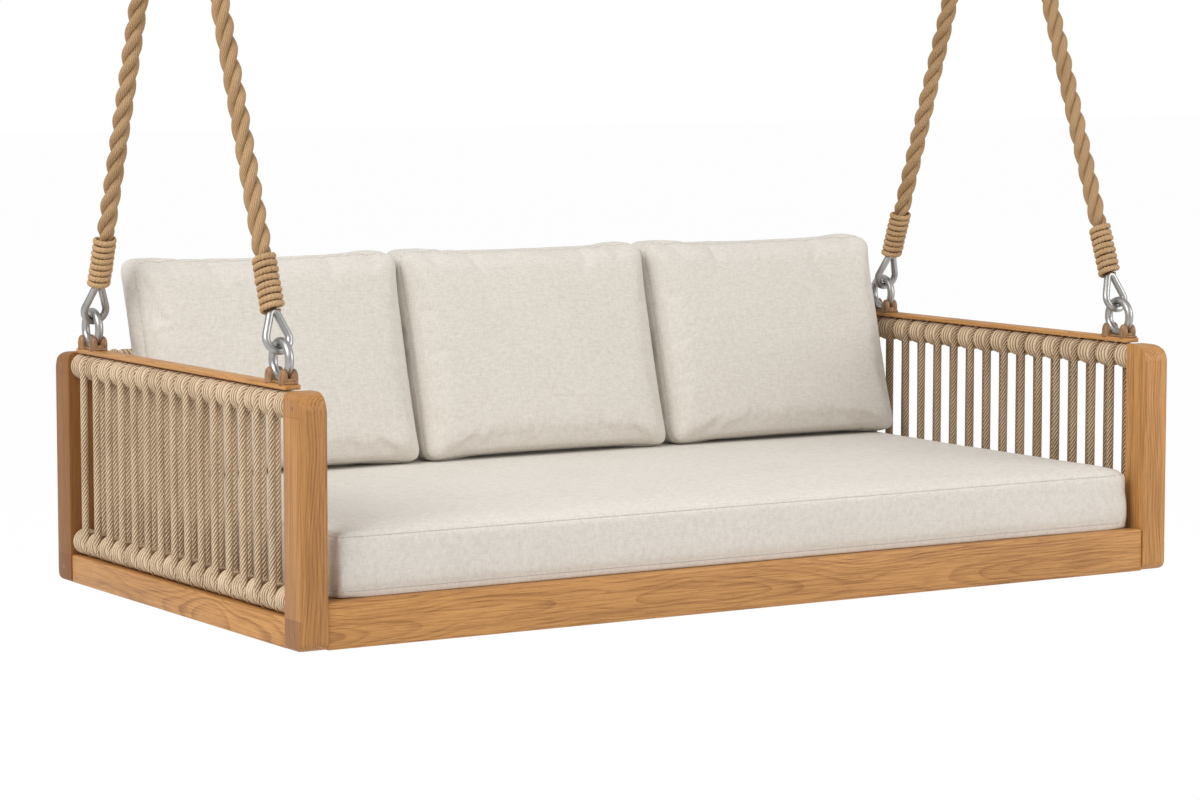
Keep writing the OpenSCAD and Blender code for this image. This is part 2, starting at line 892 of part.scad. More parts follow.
// Back cushion: it stands on the seat and leans on the upper back bar
back_corner_r = 26;
back_draw = 7;
back_plateau = 110;
cushion_gap = 4;
back_cushions = 3;
back_pace = (seat_l - 2 * back_row_inset + cushion_gap + 2 * soft_gap) / back_cushions;
back_w = back_pace - cushion_gap - 2 * soft_gap;
back_slope = back_lean / back_h;
back_z = seat_z + seat_t + seat_crown + side_bulge + soft_gap;
back_touch = (lacing_reach + 3 * soft_gap) * norm([1, back_slope]);
back_foot_y = bar_y - back_touch - back_slope * (upper_bar_z - back_z) - back_t - back_crown;
function leaned(p) = [
    p.x, back_t - p.z + back_slope * (p.y + back_h / 2), p.y + back_h / 2];

module back_cushion(place) {
    rings = cushion_rings(
        back_w, back_h, back_t, back_corner_r, back_draw, back_crown, back_crown, back_plateau);
    leaning = [for (ring = rings) [for (p = ring) leaned(p)]];
    color(LINEN)
        on_bed()
            translate([place * back_pace, back_foot_y, back_z])
                ring_mesh(
                    leaning,
                    leaned([0, 0, -back_crown]),
                    leaned([0, 0, back_t + back_crown]));
}

// One module per piece
module left_ceiling_plate() { ceiling_plate(left); }
module right_ceiling_plate() { ceiling_plate(right); }
module left_link() { ceiling_link(left); }
module right_link() { ceiling_link(right); }
module front_left_rope() { hanging_rope(left, front); }
module back_left_rope() { hanging_rope(left, back); }
module front_right_rope() { hanging_rope(right, front); }
module back_right_rope() { hanging_rope(right, back); }
module front_left_whipping() { whipping(left, front); }
module back_left_whipping() { whipping(left, back); }
module front_right_whipping() { whipping(right, front); }
module back_right_whipping() { whipping(right, back); }
module front_left_loop() { rope_loop(left, front); }
module back_left_loop() { rope_loop(left, back); }
module front_right_loop() { rope_loop(right, front); }
module back_right_loop() { rope_loop(right, back); }
module front_left_eye_socket() { eye_socket(left, front); }
module back_left_eye_socket() { eye_socket(left, back); }
module front_right_eye_socket() { eye_socket(right, front); }
module back_right_eye_socket() { eye_socket(right, back); }
module front_left_ring() { hanger_ring(left, front); }
module back_left_ring() { hanger_ring(left, back); }
module front_right_ring() { hanger_ring(right, front); }
module back_right_ring() { hanger_ring(right, back); }
module front_left_saddle() { ring_saddle(left, front); }
module back_left_saddle() { ring_saddle(left, back); }
module front_right_saddle() { ring_saddle(right, front); }
module back_right_saddle() { ring_saddle(right, back); }
module front_left_post() { corner_post(left, front); }
module back_left_post() { corner_post(left, back); }
module front_right_post() { corner_post(right, front); }
module back_right_post() { corner_post(right, back); }
module front_rail() { long_rail(front); }
module back_rail() { long_rail(back); }
module left_side_rail() { side_rail(left); }
module right_side_rail() { side_rail(right); }
module left_arm_bars() { arm_bars(left); }
module right_arm_bars() { arm_bars(right); }
module left_arm_cap() { arm_cap(left); }
module right_arm_cap() { arm_cap(right); }
module left_arm_wraps() { arm_wraps(left); }
module right_arm_wraps() { arm_wraps(right); }
module left_arm_lacing() { arm_lacing(left); }
module right_arm_lacing() { arm_lacing(right); }
module left_back_cushion() { back_cushion(left); }
module middle_back_cushion() { back_cushion(0); }
module right_back_cushion() { back_cushion(right); }

left_ceiling_plate();
right_ceiling_plate();
left_link();
right_link();
front_left_rope();
back_left_rope();
front_right_rope();
back_right_rope();
front_left_whipping();
back_left_whipping();
front_right_whipping();
back_right_whipping();
front_left_loop();
back_left_loop();
front_right_loop();
back_right_loop();
front_left_eye_socket();
back_left_eye_socket();
front_right_eye_socket();
back_right_eye_socket();
front_left_ring();
back_left_ring();
front_right_ring();
back_right_ring();
front_left_saddle();
back_left_saddle();
front_right_saddle();
back_right_saddle();
saddle_bolts();
front_left_post();
back_left_post();
front_right_post();
back_right_post();
front_rail();
back_rail();
left_side_rail();
right_side_rail();
left_arm_bars();
right_arm_bars();
back_bars();
left_arm_cap();
right_arm_cap();
left_arm_wraps();
right_arm_wraps();
back_wraps();
left_arm_lacing();
right_arm_lacing();
back_lacing();
frame_bolts();
bar_pegs();
bolt_plugs();
slats();
slat_ledgers();
centre_beam();
seat_cushion();
left_back_cushion();
middle_back_cushion();
right_back_cushion();
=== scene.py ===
"""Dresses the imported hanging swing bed: rope, cord, wood, steel and linen on the CAD frame.

Lengths are in metres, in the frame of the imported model: +Z is up, the origin lies on the ceiling
midway between the two ceiling plates, and the front of the bed looks towards -Y.
"""
import math
import random

import bmesh
import bpy
from mathutils import Matrix, Vector
from mathutils.bvhtree import BVHTree
from mathutils.kdtree import KDTree


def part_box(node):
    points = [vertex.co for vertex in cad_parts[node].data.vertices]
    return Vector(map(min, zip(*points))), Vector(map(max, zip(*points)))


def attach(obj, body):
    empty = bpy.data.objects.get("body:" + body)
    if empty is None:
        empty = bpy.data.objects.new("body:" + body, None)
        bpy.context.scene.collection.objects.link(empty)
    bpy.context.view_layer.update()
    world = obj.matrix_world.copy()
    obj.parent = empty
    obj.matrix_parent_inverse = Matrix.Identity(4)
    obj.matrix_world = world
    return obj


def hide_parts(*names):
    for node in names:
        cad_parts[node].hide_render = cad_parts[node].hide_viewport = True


bl_info = {
    "name": "Hanging Swing Bed",
    "version": (1, 0, 0),
    "blender": (4, 5, 0),
    "location": "View3D > Sidebar > Swing Bed",
    "description": "Dresses the swing bed's frame with rope, wood, steel and linen",
    "category": "Object",
}

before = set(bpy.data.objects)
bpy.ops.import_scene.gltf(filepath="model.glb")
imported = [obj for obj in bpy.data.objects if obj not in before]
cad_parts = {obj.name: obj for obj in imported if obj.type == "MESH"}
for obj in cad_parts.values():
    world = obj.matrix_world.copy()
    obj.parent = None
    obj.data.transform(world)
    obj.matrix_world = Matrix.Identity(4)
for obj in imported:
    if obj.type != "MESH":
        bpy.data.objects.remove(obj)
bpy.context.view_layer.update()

LEFT, RIGHT, FRONT, BACK = -1, 1, -1, 1
CORNERS = [(side, end) for side in (LEFT, RIGHT) for end in (FRONT, BACK)]

# Places and sizes that part.scad gives the same pieces
ARM_X = 0.992
HANGER_Y = 0.42525
EYE_Y = 0.018
RING_Z = -1.235
RING_R = 0.0335
RING_BAR_R = 0.0085
RING_RISE = 0.043
WIRE_R = 0.0075
LINK_STEP = 2 * WIRE_R + 0.0008
ROPE_ANGLE = math.atan2(HANGER_Y - EYE_Y, 1.1)
ROPE_FOOT = 0.0674
ROPE_TOP = 1.0900
WHIP_FOOT = 0.054
WHIP_TOP = 0.1728
WHIP_PITCH = 0.0131
WHIP_TURNS = 8 + 1 / 6
WHIP_MID_R = 0.0200
FOOT_Z = -1.7628
POST_H = 0.475
INNER_X = 0.963
INNER_Y = 0.486
BACK_BAR_Y = 0.522
CORE_R = 0.013
WRAP_R = 0.025
LACING_R = 0.0075
LACING_TURN_R = CORE_R + LACING_R + 0.0001
UPPER_BAR = 0.447
ARM_LOWER_BAR = 0.0853
BACK_LOWER_BAR = 0.1163
ARM_DROPS = 15
BACK_DROPS = 30
SEAT_REST = 0.022


def side_name(side):
    return "left" if side == LEFT else "right"


def corner_name(side, end):
    return ("front_" if end == FRONT else "back_") + side_name(side)


# ---------------------------------------------------------------- settings


def length(name, description, default, least, most):
    return bpy.props.FloatProperty(
        name=name, description=description, default=default, min=least, max=most,
        subtype="DISTANCE", unit="LENGTH", precision=4)


def colour(name, description, default):
    return bpy.props.FloatVectorProperty(
        name=name, description=description, default=default, min=0, max=1, size=3,
        subtype="COLOR")


def share(name, description, default):
    return bpy.props.FloatProperty(
        name=name, description=description, default=default, min=0, max=1, subtype="FACTOR")


class StageSettings(bpy.types.PropertyGroup):
    floor_drop: length("Floor drop", "Height of the bed's foot above the floor", 0.8, 0.2, 2)
    key_power: bpy.props.FloatProperty(
        name="Key light", description="Power of the soft light at the front left",
        default=275, min=0, max=2000, subtype="POWER", unit="POWER")
    fill_power: bpy.props.FloatProperty(
        name="Fill light", description="Power of the soft light at the front right",
        default=142, min=0, max=2000, subtype="POWER", unit="POWER")
    ambient: share("Ambient", "Strength of the even light from all round", 0.50)


class WoodSettings(bpy.types.PropertyGroup):
    pale: colour("Pale wood", "Early growth of the teak", (0.60, 0.300, 0.098))
    deep: colour("Deep wood", "Late growth of the teak", (0.205, 0.072, 0.017))
    saddle: colour("Saddle wood", "Oiled hardwood of the saddles", (0.27, 0.140, 0.060))
    ring_width: length("Growth ring", "Width of a growth ring", 0.0048, 0.001, 0.03)
    edge_ease: length("Edge ease", "Rounding of the boards' edges", 0.0035, 0.0005, 0.01)
    post_ease: length("Post ease", "Rounding of the posts' long edges", 0.0055, 0.0005, 0.012)


class RopeSettings(bpy.types.PropertyGroup):
    rope: colour("Rope", "Fibre of the hanging ropes", (0.56, 0.37, 0.20))
    # The shade colours are what the fibre's grooves are darkened to (painted shade) and what its
    # random hairs and patches tend to
    rope_shade: colour("Rope shade", "Fibre between the strands", (0.22, 0.115, 0.045))
    cord: colour("Cord", "Fibre of the lacing and the wraps", (0.85, 0.665, 0.46))
    cord_shade: colour("Cord shade", "Cord's grooves", (0.20, 0.11, 0.05))
    lay: length("Lay", "Length of one full turn of a rope's strand", 0.138, 0.08, 0.3)
    wrap_cord: length("Wrap cord", "Width of the cord in the wraps", 0.0085, 0.003, 0.012)
    yarns: bpy.props.IntProperty(
        name="Yarns", description="Yarns round the lacing rope", default=7, min=3, max=24)


class SteelSettings(bpy.types.PropertyGroup):
    steel: colour("Steel", "Satin steel of the rings and loops", (0.43, 0.42, 0.405))
    roughness: share("Roughness", "Roughness of the satin steel", 0.35)


class LinenSettings(bpy.types.PropertyGroup):
    linen: colour("Linen", "Warp and weft of the covers", (0.735, 0.695, 0.635))
    shade: colour("Linen shade", "Slubs and gaps in the weave", (0.575, 0.53, 0.465))
    pressure: bpy.props.FloatProperty(
        name="Pressure", description="Air pressure that fills a cushion", default=4, min=0, max=20)
    seam_r: length("Seam", "Radius of a sewn edge", 0.0010, 0.0004, 0.005)


# ---------------------------------------------------------------- materials


class Value:
    """A socket's number or colour: arithmetic on it adds Math nodes."""

    def __init__(self, finish, socket):
        self.finish, self.socket = finish, socket

    def other(self, name):
        return Value(self.finish, self.socket.node.outputs[name])

    def maths(self, operation, *numbers):
        return self.finish.add("ShaderNodeMath", {"operation": operation}, numbers)

    def __add__(self, number):
        return self.maths("ADD", self, number)

    def __sub__(self, number):
        return self.maths("SUBTRACT", self, number)

    def __rsub__(self, number):
        return self.maths("SUBTRACT", number, self)

    def __mul__(self, number):
        return self.maths("MULTIPLY", self, number)

    def __truediv__(self, number):
        return self.maths("DIVIDE", self, number)

    def __pow__(self, number):
        return self.maths("POWER", self, number)

    def __lt__(self, number):
        return self.maths("LESS_THAN", self, number)

    def __gt__(self, number):
        return self.maths("GREATER_THAN", self, number)

    def __abs__(self):
        return self.maths("ABSOLUTE", self)

    __radd__ = __add__
    __rmul__ = __mul__

    def fraction(self):
        return self.maths("FRACT", self)

    def wave(self):
        """0 to 1 and back once for each whole number"""
        return self.maths("COSINE", self * math.tau) * -0.5 + 0.5

    def between(self, low, high):
        """0 below low, 1 above high, and smooth between them"""
        return self.finish.add(
            "ShaderNodeMapRange", {"interpolation_type": "SMOOTHSTEP"}, (self, low, high, 0, 1))


class Finish:
    """One material, whose surface is a Principled shader fed by what add() makes."""

    def __init__(self, name):
        self.material = bpy.data.materials.new(name)
        self.material.use_nodes = True
        self.tree = self.material.node_tree
        self.shader = self.tree.nodes["Principled BSDF"]

    def add(self, kind, settings=None, values=(), named=None, output=0):
        """Adds a node: its settings first, then its sockets in order or by name"""
        node = self.tree.nodes.new(kind)
        for key, setting in (settings or {}).items():
            if key == "stops":
                ramp = node.color_ramp
                while len(ramp.elements) < len(setting):
                    ramp.elements.new(0.5)
                for stop, (place, shade) in zip(ramp.elements, setting):
                    stop.position, stop.color = place, (*shade, 1)
            else:
                setattr(node, key, setting)
        pairs = list(zip(node.inputs, values))
        for key, value in (named or {}).items():
            pairs.append((next(s for s in node.inputs if key in (s.identifier, s.name)), value))
        for socket, value in pairs:
            self.feed(socket, value)
        outputs = {s.identifier: s for s in node.outputs}
        return Value(self, outputs[output] if output in outputs else node.outputs[output])

    def feed(self, socket, value):
        if isinstance(value, Value):
            self.tree.links.new(value.socket, socket)
        elif isinstance(value, (int, float)) or len(value) == len(socket.default_value):
            socket.default_value = value
        else:
            socket.default_value = (*value, 1)

    def surface(self, **sockets):
        for name, value in sockets.items():
            self.feed(self.shader.inputs[name.replace("_", " ")], value)
        return self.material

    def place(self):
        """Object coordinates in metres, as three numbers"""
        point = self.add("ShaderNodeTexCoord", output="Object")
        x = self.add("ShaderNodeSeparateXYZ", values=(point,))
        return x, x.other("Y"), x.other("Z")

    def along_piece(self):
        """The piece's own map: round it, and along it in metres"""
        point = self.add("ShaderNodeUVMap", {"uv_map": "UVMap"})
        u = self.add("ShaderNodeSeparateXYZ", values=(point,))
        return u, u.other("Y")

    def join(self, x, y, z=0.0):
        return self.add("ShaderNodeCombineXYZ", values=(x, y, z))

    def noise(self, x, y, z=0.0, detail=2.0, roughness=0.5):
        return self.add("ShaderNodeTexNoise", values=(self.join(x, y, z),), named={
            "Scale": 1.0, "Detail": detail, "Roughness": roughness})

    def mix(self, low, high, share):
        return self.add("ShaderNodeMix", {"data_type": "RGBA"}, named={
            "Factor_Float": share, "A_Color": low, "B_Color": high}, output="Result_Color")

    def bump(self, height, depth, strength=1.0, under=None):
        named = {"Strength": strength, "Distance": depth, "Height": height}
        if under is not None:
            named["Normal"] = under
        return self.add("ShaderNodeBump", named=named)


def teak(name, grain, heart, wood, post_marks_and_painted_shade=False, tint=1.0):
    """Oiled teak whose grain runs along one axis; heart is where the middle of the tree was"""
    f = Finish(name)
    x, y, z = f.place()
    along, a, b = {"X": (x, abs(y), z), "Y": (y, abs(x), z), "Z": (z, abs(x), abs(y))}[grain]
    bend = f.noise(along * 1.5, a * 4, b * 4, detail=3) - 0.5
    sway = f.noise(along * 1.2 + 7.3, a * 3, b * 3, detail=2) - 0.5
    off_a = a - heart[0] + bend * 0.085
    off_b = b - heart[1] + sway * 0.085
    growth = (off_a * off_a + off_b * off_b) ** 0.5 / wood.ring_width
    year = f.noise(growth * 0.55, 0, 0, detail=2).between(0.3, 0.72)
    late = (growth.fraction().between(0.3, 0.95) * (1 - growth.fraction().between(0.95, 1.0)))
    vessel = f.noise(along * 22, a * 620, b * 620, detail=3, roughness=0.7)
    fibre_line = f.noise(along * 7, a * 330, b * 330, detail=3, roughness=0.6)
    dash = f.noise(along * 40 + 11, a * 900, b * 900, detail=1).between(0.63, 0.74)
    cloud = f.noise(along * 2.4 + 3, a * 26, b * 26, detail=3)
    tone = (late * year * 0.50 + fibre_line.between(0.40, 0.68) * 0.40
            + vessel.between(0.45, 0.75) * 0.22 + cloud.between(0.32, 0.72) * 0.20)
    deep = [c * tint for c in wood.deep]
    shade = f.mix([c * tint for c in wood.pale], deep, tone)
    shade = f.mix(shade, [c * 0.5 for c in deep], dash * 0.38)
    # On the posts: darker end blocks and joint lines on the outer faces, which the wood has, and
    # painted shade by corner
    if post_marks_and_painted_shade:
        height = z - FOOT_Z
        outer = abs(x) > 1.0185
        foot = outer * (height < 0.0572)
        head = outer * (height > 0.430)
        lines = outer * (abs(abs(height - 0.2436) - 0.1864) < 0.0006)
        shade = f.mix(shade, [c * 0.8 for c in deep], foot * 0.45)
        shade = f.mix(shade, deep, head * 0.12)
        shade = f.mix(shade, [c * 0.4 for c in deep], lines * 0.4)
        # painted shade: the back posts and the front left post are darkened towards the deep wood,
        # the back left post most
        left, back = x < 0, y > 0
        painted_post_shade = back * left * 0.75 + back * (1 - left) * 0.25 + (1 - back) * left * 0.22
        shade = f.mix(shade, [c * 0.9 for c in deep], painted_post_shade)
    relief = vessel * -0.7 - dash * 0.8 - late * 0.2
    return f.surface(
        Base_Color=shade, Roughness=vessel * 0.14 + 0.40,
        Normal=f.bump(relief, 0.00018, 0.5), Specular_IOR_Level=0.32)


def dark_wood(wood):
    f = Finish("dark_wood")
    x, y, z = f.place()
    streak = f.noise(x * 220, y * 220, z * 45, detail=4)
    cloud = f.noise(x * 40, y * 40, z * 30)
    shade = f.mix([c * 1.35 for c in wood.saddle], [c * 0.6 for c in wood.saddle],
                  streak.between(0.3, 0.7) * 0.7 + cloud.between(0.4, 0.7) * 0.3)
    return f.surface(Base_Color=shade, Roughness=streak * 0.15 + 0.33,
                     Normal=f.bump(streak, 0.0002, 0.4))


def fibre(name, light, shade, turns, twist, depth, painted_groove_shade=0.5, right_arm_painted_shade=0):
    """Twisted fibre: turns is how many yarns lie round the piece, twist how many pass a metre"""
    f = Finish(name)
    u, v = f.along_piece()
    x, y, z = f.place()
    wobble = f.noise(x * 26, y * 26, z * 26, detail=2) - 0.5
    yarn = (u * turns + v * twist + wobble * 0.6).wave()
    hairs = f.noise(u * turns * 2.4 + v * 90, v * 260 - u * 7, x * 50, detail=3, roughness=0.65)
    patch = f.noise(x * 15, y * 15, z * 8, detail=3)
    # painted shade: the grooves between the yarns are darkened in colour, besides their bump; hairs
    # and patches vary the tone at random
    groove = (1 - yarn) ** 1.6
    tone = (groove * painted_groove_shade + hairs.between(0.38, 0.78) * 0.24
            + patch.between(0.35, 0.78) * 0.22)
    if right_arm_painted_shade:
        # painted shade: from x 0.892 outward, on the right arm's lacing, the colour is darkened as if
        # in shade
        tone = tone + (x > ARM_X - 0.1) * right_arm_painted_shade
    colour_here = f.mix(light, shade, tone)
    return f.surface(Base_Color=colour_here, Roughness=0.86, Specular_IOR_Level=0.18,
                     Normal=f.bump(yarn + hairs * 0.3, depth, 0.9))


def linen(settings):
    f = Finish("linen")
    x, y, z = f.place()
    fine = 620
    slow = 75
    warp = f.noise(x * fine, y * slow, z * slow, detail=2, roughness=0.6)
    weft = f.noise(x * slow, y * slow, z * fine, detail=2, roughness=0.6)
    deep = f.noise(x * slow, y * fine, z * slow, detail=2, roughness=0.6)
    slub = f.noise(x * 240, y * 12, z * 12, detail=2)
    slub_across = f.noise(x * 12, y * 12 + z * 9, z * 240, detail=2)
    cloud = f.noise(x * 6, y * 6, z * 6, detail=3)
    threads = warp * 0.36 + weft * 0.36 + deep * 0.28
    tone = (threads.between(0.38, 0.64) * 0.66 + slub.between(0.56, 0.78) * 0.12
            + slub_across.between(0.56, 0.78) * 0.12 + cloud.between(0.4, 0.7) * 0.08)
    shade = f.mix(settings.linen, settings.shade, tone)
    folds = f.noise(x * 7, y * 7, z * 7, detail=2)
    soft = f.bump(folds, 0.004, 0.22)
    return f.surface(
        Base_Color=shade, Roughness=0.92, Specular_IOR_Level=0.12, Sheen_Weight=0.12,
        Sheen_Roughness=0.55, Normal=f.bump(threads * -1.0 + slub * -0.4, 0.0006, 0.5, soft))


def seam_thread(settings):
    f = Finish("seam_thread")
    u, v = f.along_piece()
    stitch = (v / 0.0032).wave()
    shade = f.mix([c * 0.80 for c in settings.shade], settings.linen, stitch * 0.7)
    return f.surface(Base_Color=shade, Roughness=0.9, Normal=f.bump(stitch, 0.0005, 0.8))


def satin_steel(name, settings, tint=1.0):
    f = Finish(name)
    x, y, z = f.place()
    brushed = f.noise(x * 90, y * 90, z * 700, detail=3)
    satin_mottle_and_painted_reflection = f.noise(x * 35, y * 35, z * 35, detail=3)
    # painted shade and reflection: the steel is darkened in random patches to stand for dark streaks
    # from nearby parts and reflections; the same noise varies the roughness
    shade = f.mix([c * tint for c in settings.steel], [c * tint * 0.72 for c in settings.steel],
                  satin_mottle_and_painted_reflection.between(0.35, 0.75) * 0.6)
    return f.surface(Base_Color=shade, Metallic=1.0,
                     Roughness=brushed * 0.12 + satin_mottle_and_painted_reflection * 0.10 + (settings.roughness - 0.09),
                     Normal=f.bump(brushed, 0.00006, 0.35))


def studio_white(name, strength, shadow):
    """White for the camera, with a trace of the shadow that falls on it"""
    f = Finish(name)
    f.surface(Base_Color=(0.8, 0.8, 0.8), Roughness=1.0, Specular_IOR_Level=0.0)
    glow = f.add("ShaderNodeEmission", values=((1, 1, 1), strength))
    seen = f.add("ShaderNodeLightPath", output="Is Camera Ray")
    mirrored = f.add("ShaderNodeLightPath", output="Is Glossy Ray")
    show = seen.maths("MAXIMUM", seen, mirrored) * (1 - shadow)
    both = f.add("ShaderNodeMixShader", values=(
        show, Value(f, f.shader.outputs[0]), glow))
    f.tree.links.new(both.socket, f.tree.nodes["Material Output"].inputs["Surface"])
    return f.material


MATERIALS = {}


def finish_of(name, make, *details):
    if name not in MATERIALS:
        MATERIALS[name] = make(*details)
    return MATERIALS[name]


# ---------------------------------------------------------------- shapes


def settle(bm, name, material, body, nodes=(), smooth=True, sharp=None):
    """Turns a bmesh into a piece that rides on a body and stands for CAD nodes"""
    mesh = bpy.data.meshes.new(name)
    bm.to_mesh(mesh)
    bm.free()
    piece = bpy.data.objects.new(name, mesh)
    bpy.context.scene.collection.objects.link(piece)
    mesh.materials.append(material)
    mesh.shade_smooth() if smooth else mesh.shade_flat()
    if sharp is not None:
        mesh.set_sharp_from_angle(angle=math.radians(sharp))
    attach(piece, body)
    if nodes:
        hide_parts(*nodes)
    return piece


def dress(node, material):
    """A CAD node keeps its shape and gets a better material"""
    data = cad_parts[node].data
    if not data.materials:
        data.materials.append(material)
    for i in range(len(data.materials)):
        data.materials[i] = material


def map_of(bm):
    return bm.loops.layers.uv.get("UVMap") or bm.loops.layers.uv.new("UVMap")


def add_part(whole, part, place=None):
    """Adds a finished part to a larger bmesh"""
    if place is not None:
        bmesh.ops.transform(part, matrix=place, verts=part.verts)
    mesh = bpy.data.meshes.new("part")
    part.to_mesh(mesh)
    part.free()
    whole.from_mesh(mesh)
    bpy.data.meshes.remove(mesh)


def sweep(whole, rings, closed):
    """Pushes a ring of points through the places of all the others, with a map round and along"""
    bm = bmesh.new()
    layer = map_of(bm)
    count = len(rings[0])
    ring = [bm.verts.new(point) for point in rings[0]]
    edges = [bm.edges.new((ring[i - 1], ring[i])) for i in range(count)]
    first = ring
    gone = 0.0
    for before, points in zip(rings, rings[1:]):
        made = bmesh.ops.extrude_edge_only(bm, edges=edges)["geom"]
        fresh = {v for v in made if isinstance(v, bmesh.types.BMVert)}
        after = [next(w for w in (e.other_vert(v) for e in v.link_edges) if w in fresh)
                 for v in ring]
        for vert, point in zip(after, points):
            vert.co = point
        step = (sum(points, Vector()) - sum(before, Vector())).length / count
        edges = []
        for i in range(count):
            edge = bm.edges.get((after[i - 1], after[i]))
            edges.append(edge)
            for loop in edge.link_faces[0].loops:
                here = loop.vert in (after[i - 1], after[i])
                late = loop.vert in (after[i], ring[i])
                loop[layer].uv = ((i + late) / count, gone + (step if here else 0))
        gone += step
        ring = after
    if closed:
        bmesh.ops.remove_doubles(bm, verts=bm.verts, dist=1e-5)
    else:
        bm.faces.new(first)
        bm.faces.new(ring)
    bmesh.ops.recalc_face_normals(bm, faces=bm.faces)
    add_part(whole, bm)


def circle_points(radius, count, squash=(1, 1), turn=0.0, lobes=0, depth=0.0):
    points = []
    for i in range(count):
        a = math.tau * i / count
        r = radius * (1 - depth * (0.5 - 0.5 * math.cos(lobes * a)))
        points.append(Vector((squash[0] * r * math.cos(a + turn),
                              squash[1] * r * math.sin(a + turn), 0)))
    return points


def basis(side, up, ahead, place):
    """The matrix whose X, Y and Z run along three given directions"""
    return Matrix.Translation(place) @ Matrix((side, up, ahead)).transposed().to_4x4()


def round_about(circles, pace):
    """Points and headings along a closed line pulled tight round circles (x, y, radius)"""
    def leaving(a, b):
        gap = math.hypot(b[0] - a[0], b[1] - a[1])
        return math.atan2(b[1] - a[1], b[0] - a[0]) - math.acos((a[2] - b[2]) / gap)

    stops = []
    for i, here in enumerate(circles):
        start = leaving(circles[i - 1], here)
        turn = (leaving(here, circles[(i + 1) % len(circles)]) - start) % math.tau
        steps = max(2, math.ceil(turn * here[2] / pace))
        for k in range(steps + 1):
            a = start + turn * k / steps
            stops.append((Vector((here[0] + here[2] * math.cos(a),
                                  here[1] + here[2] * math.sin(a))), a + math.pi / 2))
    stops.append(stops[0])
    return stops


def bent_bar(bm, circles, radius, plane, pace, sides):
    """A closed loop of round bar in the XY plane of plane"""
    rings = []
    for point, heading in round_about(circles, pace):
        ahead = Vector((math.cos(heading), math.sin(heading), 0))
        place = basis(Vector((0, 0, 1)).cross(ahead), Vector((0, 0, 1)), ahead,
                      (point.x, point.y, 0))
        rings.append([plane @ place @ Vector((p.x, p.y, 0)) for p in
                      circle_points(radius, sides)])
    sweep(bm, rings, True)


XZ_PLANE = Matrix.Rotation(math.pi / 2, 4, "X")
YZ_PLANE = Matrix.Rotation(math.pi / 2, 4, "Z") @ Matrix.Rotation(math.pi / 2, 4, "X")


def at_ring(side, end):
    return Matrix.Translation((side * ARM_X, end * HANGER_Y, RING_Z))


def on_rope(side, end):
    """One rope's line: its origin is the top of the ring, and +Z runs up the rope"""
    return (at_ring(side, end) @ Matrix.Rotation(end * ROPE_ANGLE, 4, "X")
            @ Matrix.Translation((0, 0, RING_R)))


def bed(height):
    return FOOT_Z + height


def board(bm, low, high, ease, segments=3):
    """A board between two corners, its edges eased"""
    low, high = Vector(low), Vector(high)
    made = bmesh.ops.create_cube(bm, size=1)["verts"]
    bmesh.ops.scale(bm, vec=high - low, verts=made)
    bmesh.ops.translate(bm, vec=(low + high) / 2, verts=made)
    ease_edges(bm, {e for v in made for e in v.link_edges}, ease, segments)


def ease_edges(bm, edges, ease, segments=3):
    bmesh.ops.bevel(bm, geom=list(edges), offset=ease, offset_type="OFFSET", affect="EDGES",
                    segments=segments, profile=0.5, material=-1, clamp_overlap=True)


def carve(bm, point, normal):
    """Cuts away what lies beyond a plane and closes the cut"""
    cut = bmesh.ops.bisect_plane(bm, geom=bm.verts[:] + bm.edges[:] + bm.faces[:],
                                 plane_co=point, plane_no=normal, clear_outer=True, dist=1e-6)
    edges = [g for g in cut["geom_cut"] if isinstance(g, bmesh.types.BMEdge)]
    bmesh.ops.edgenet_fill(bm, edges=edges)


def round_edge(bm, middle, radius, from_way, to_way, cuts):
    """Rounds the edge between two faces with a row of flat cuts round a middle line"""
    for i in range(1, cuts):
        a = math.pi / 2 * i / cuts
        way = Vector(from_way) * math.cos(a) + Vector(to_way) * math.sin(a)
        carve(bm, Vector(middle) + way * radius, way)


# ---------------------------------------------------------------- rope and cord


def rope_swell(z):
    """How full the rope is: bound tight inside its whipping, and full above it"""
    s = min(1, max(0, (z - WHIP_TOP + 0.008) / 0.018))
    return 0.79 + 0.21 * s * s * (3 - 2 * s)


def hanging_rope(side, end, settings):
    place = on_rope(side, end)
    strand_r, winding_r = 0.00945, 0.00955
    count = 230
    phase = {(LEFT, FRONT): 0.6, (LEFT, BACK): 2.4, (RIGHT, FRONT): 4.1, (RIGHT, BACK): 5.2}
    bm = bmesh.new()
    for strand in range(3):
        rings = []
        for i in range(count + 1):
            z = ROPE_FOOT + (ROPE_TOP - ROPE_FOOT) * i / count
            a = math.tau * (z / settings.lay + strand / 3) + phase[side, end]
            full = rope_swell(z)
            way = Matrix.Translation((winding_r * full * math.cos(a),
                                      winding_r * full * math.sin(a), z))
            turned = way @ Matrix.Rotation(a, 4, "Z")
            rings.append([place @ turned @ p for p in circle_points(strand_r * full, 18)])
        sweep(bm, rings, False)
    return bm


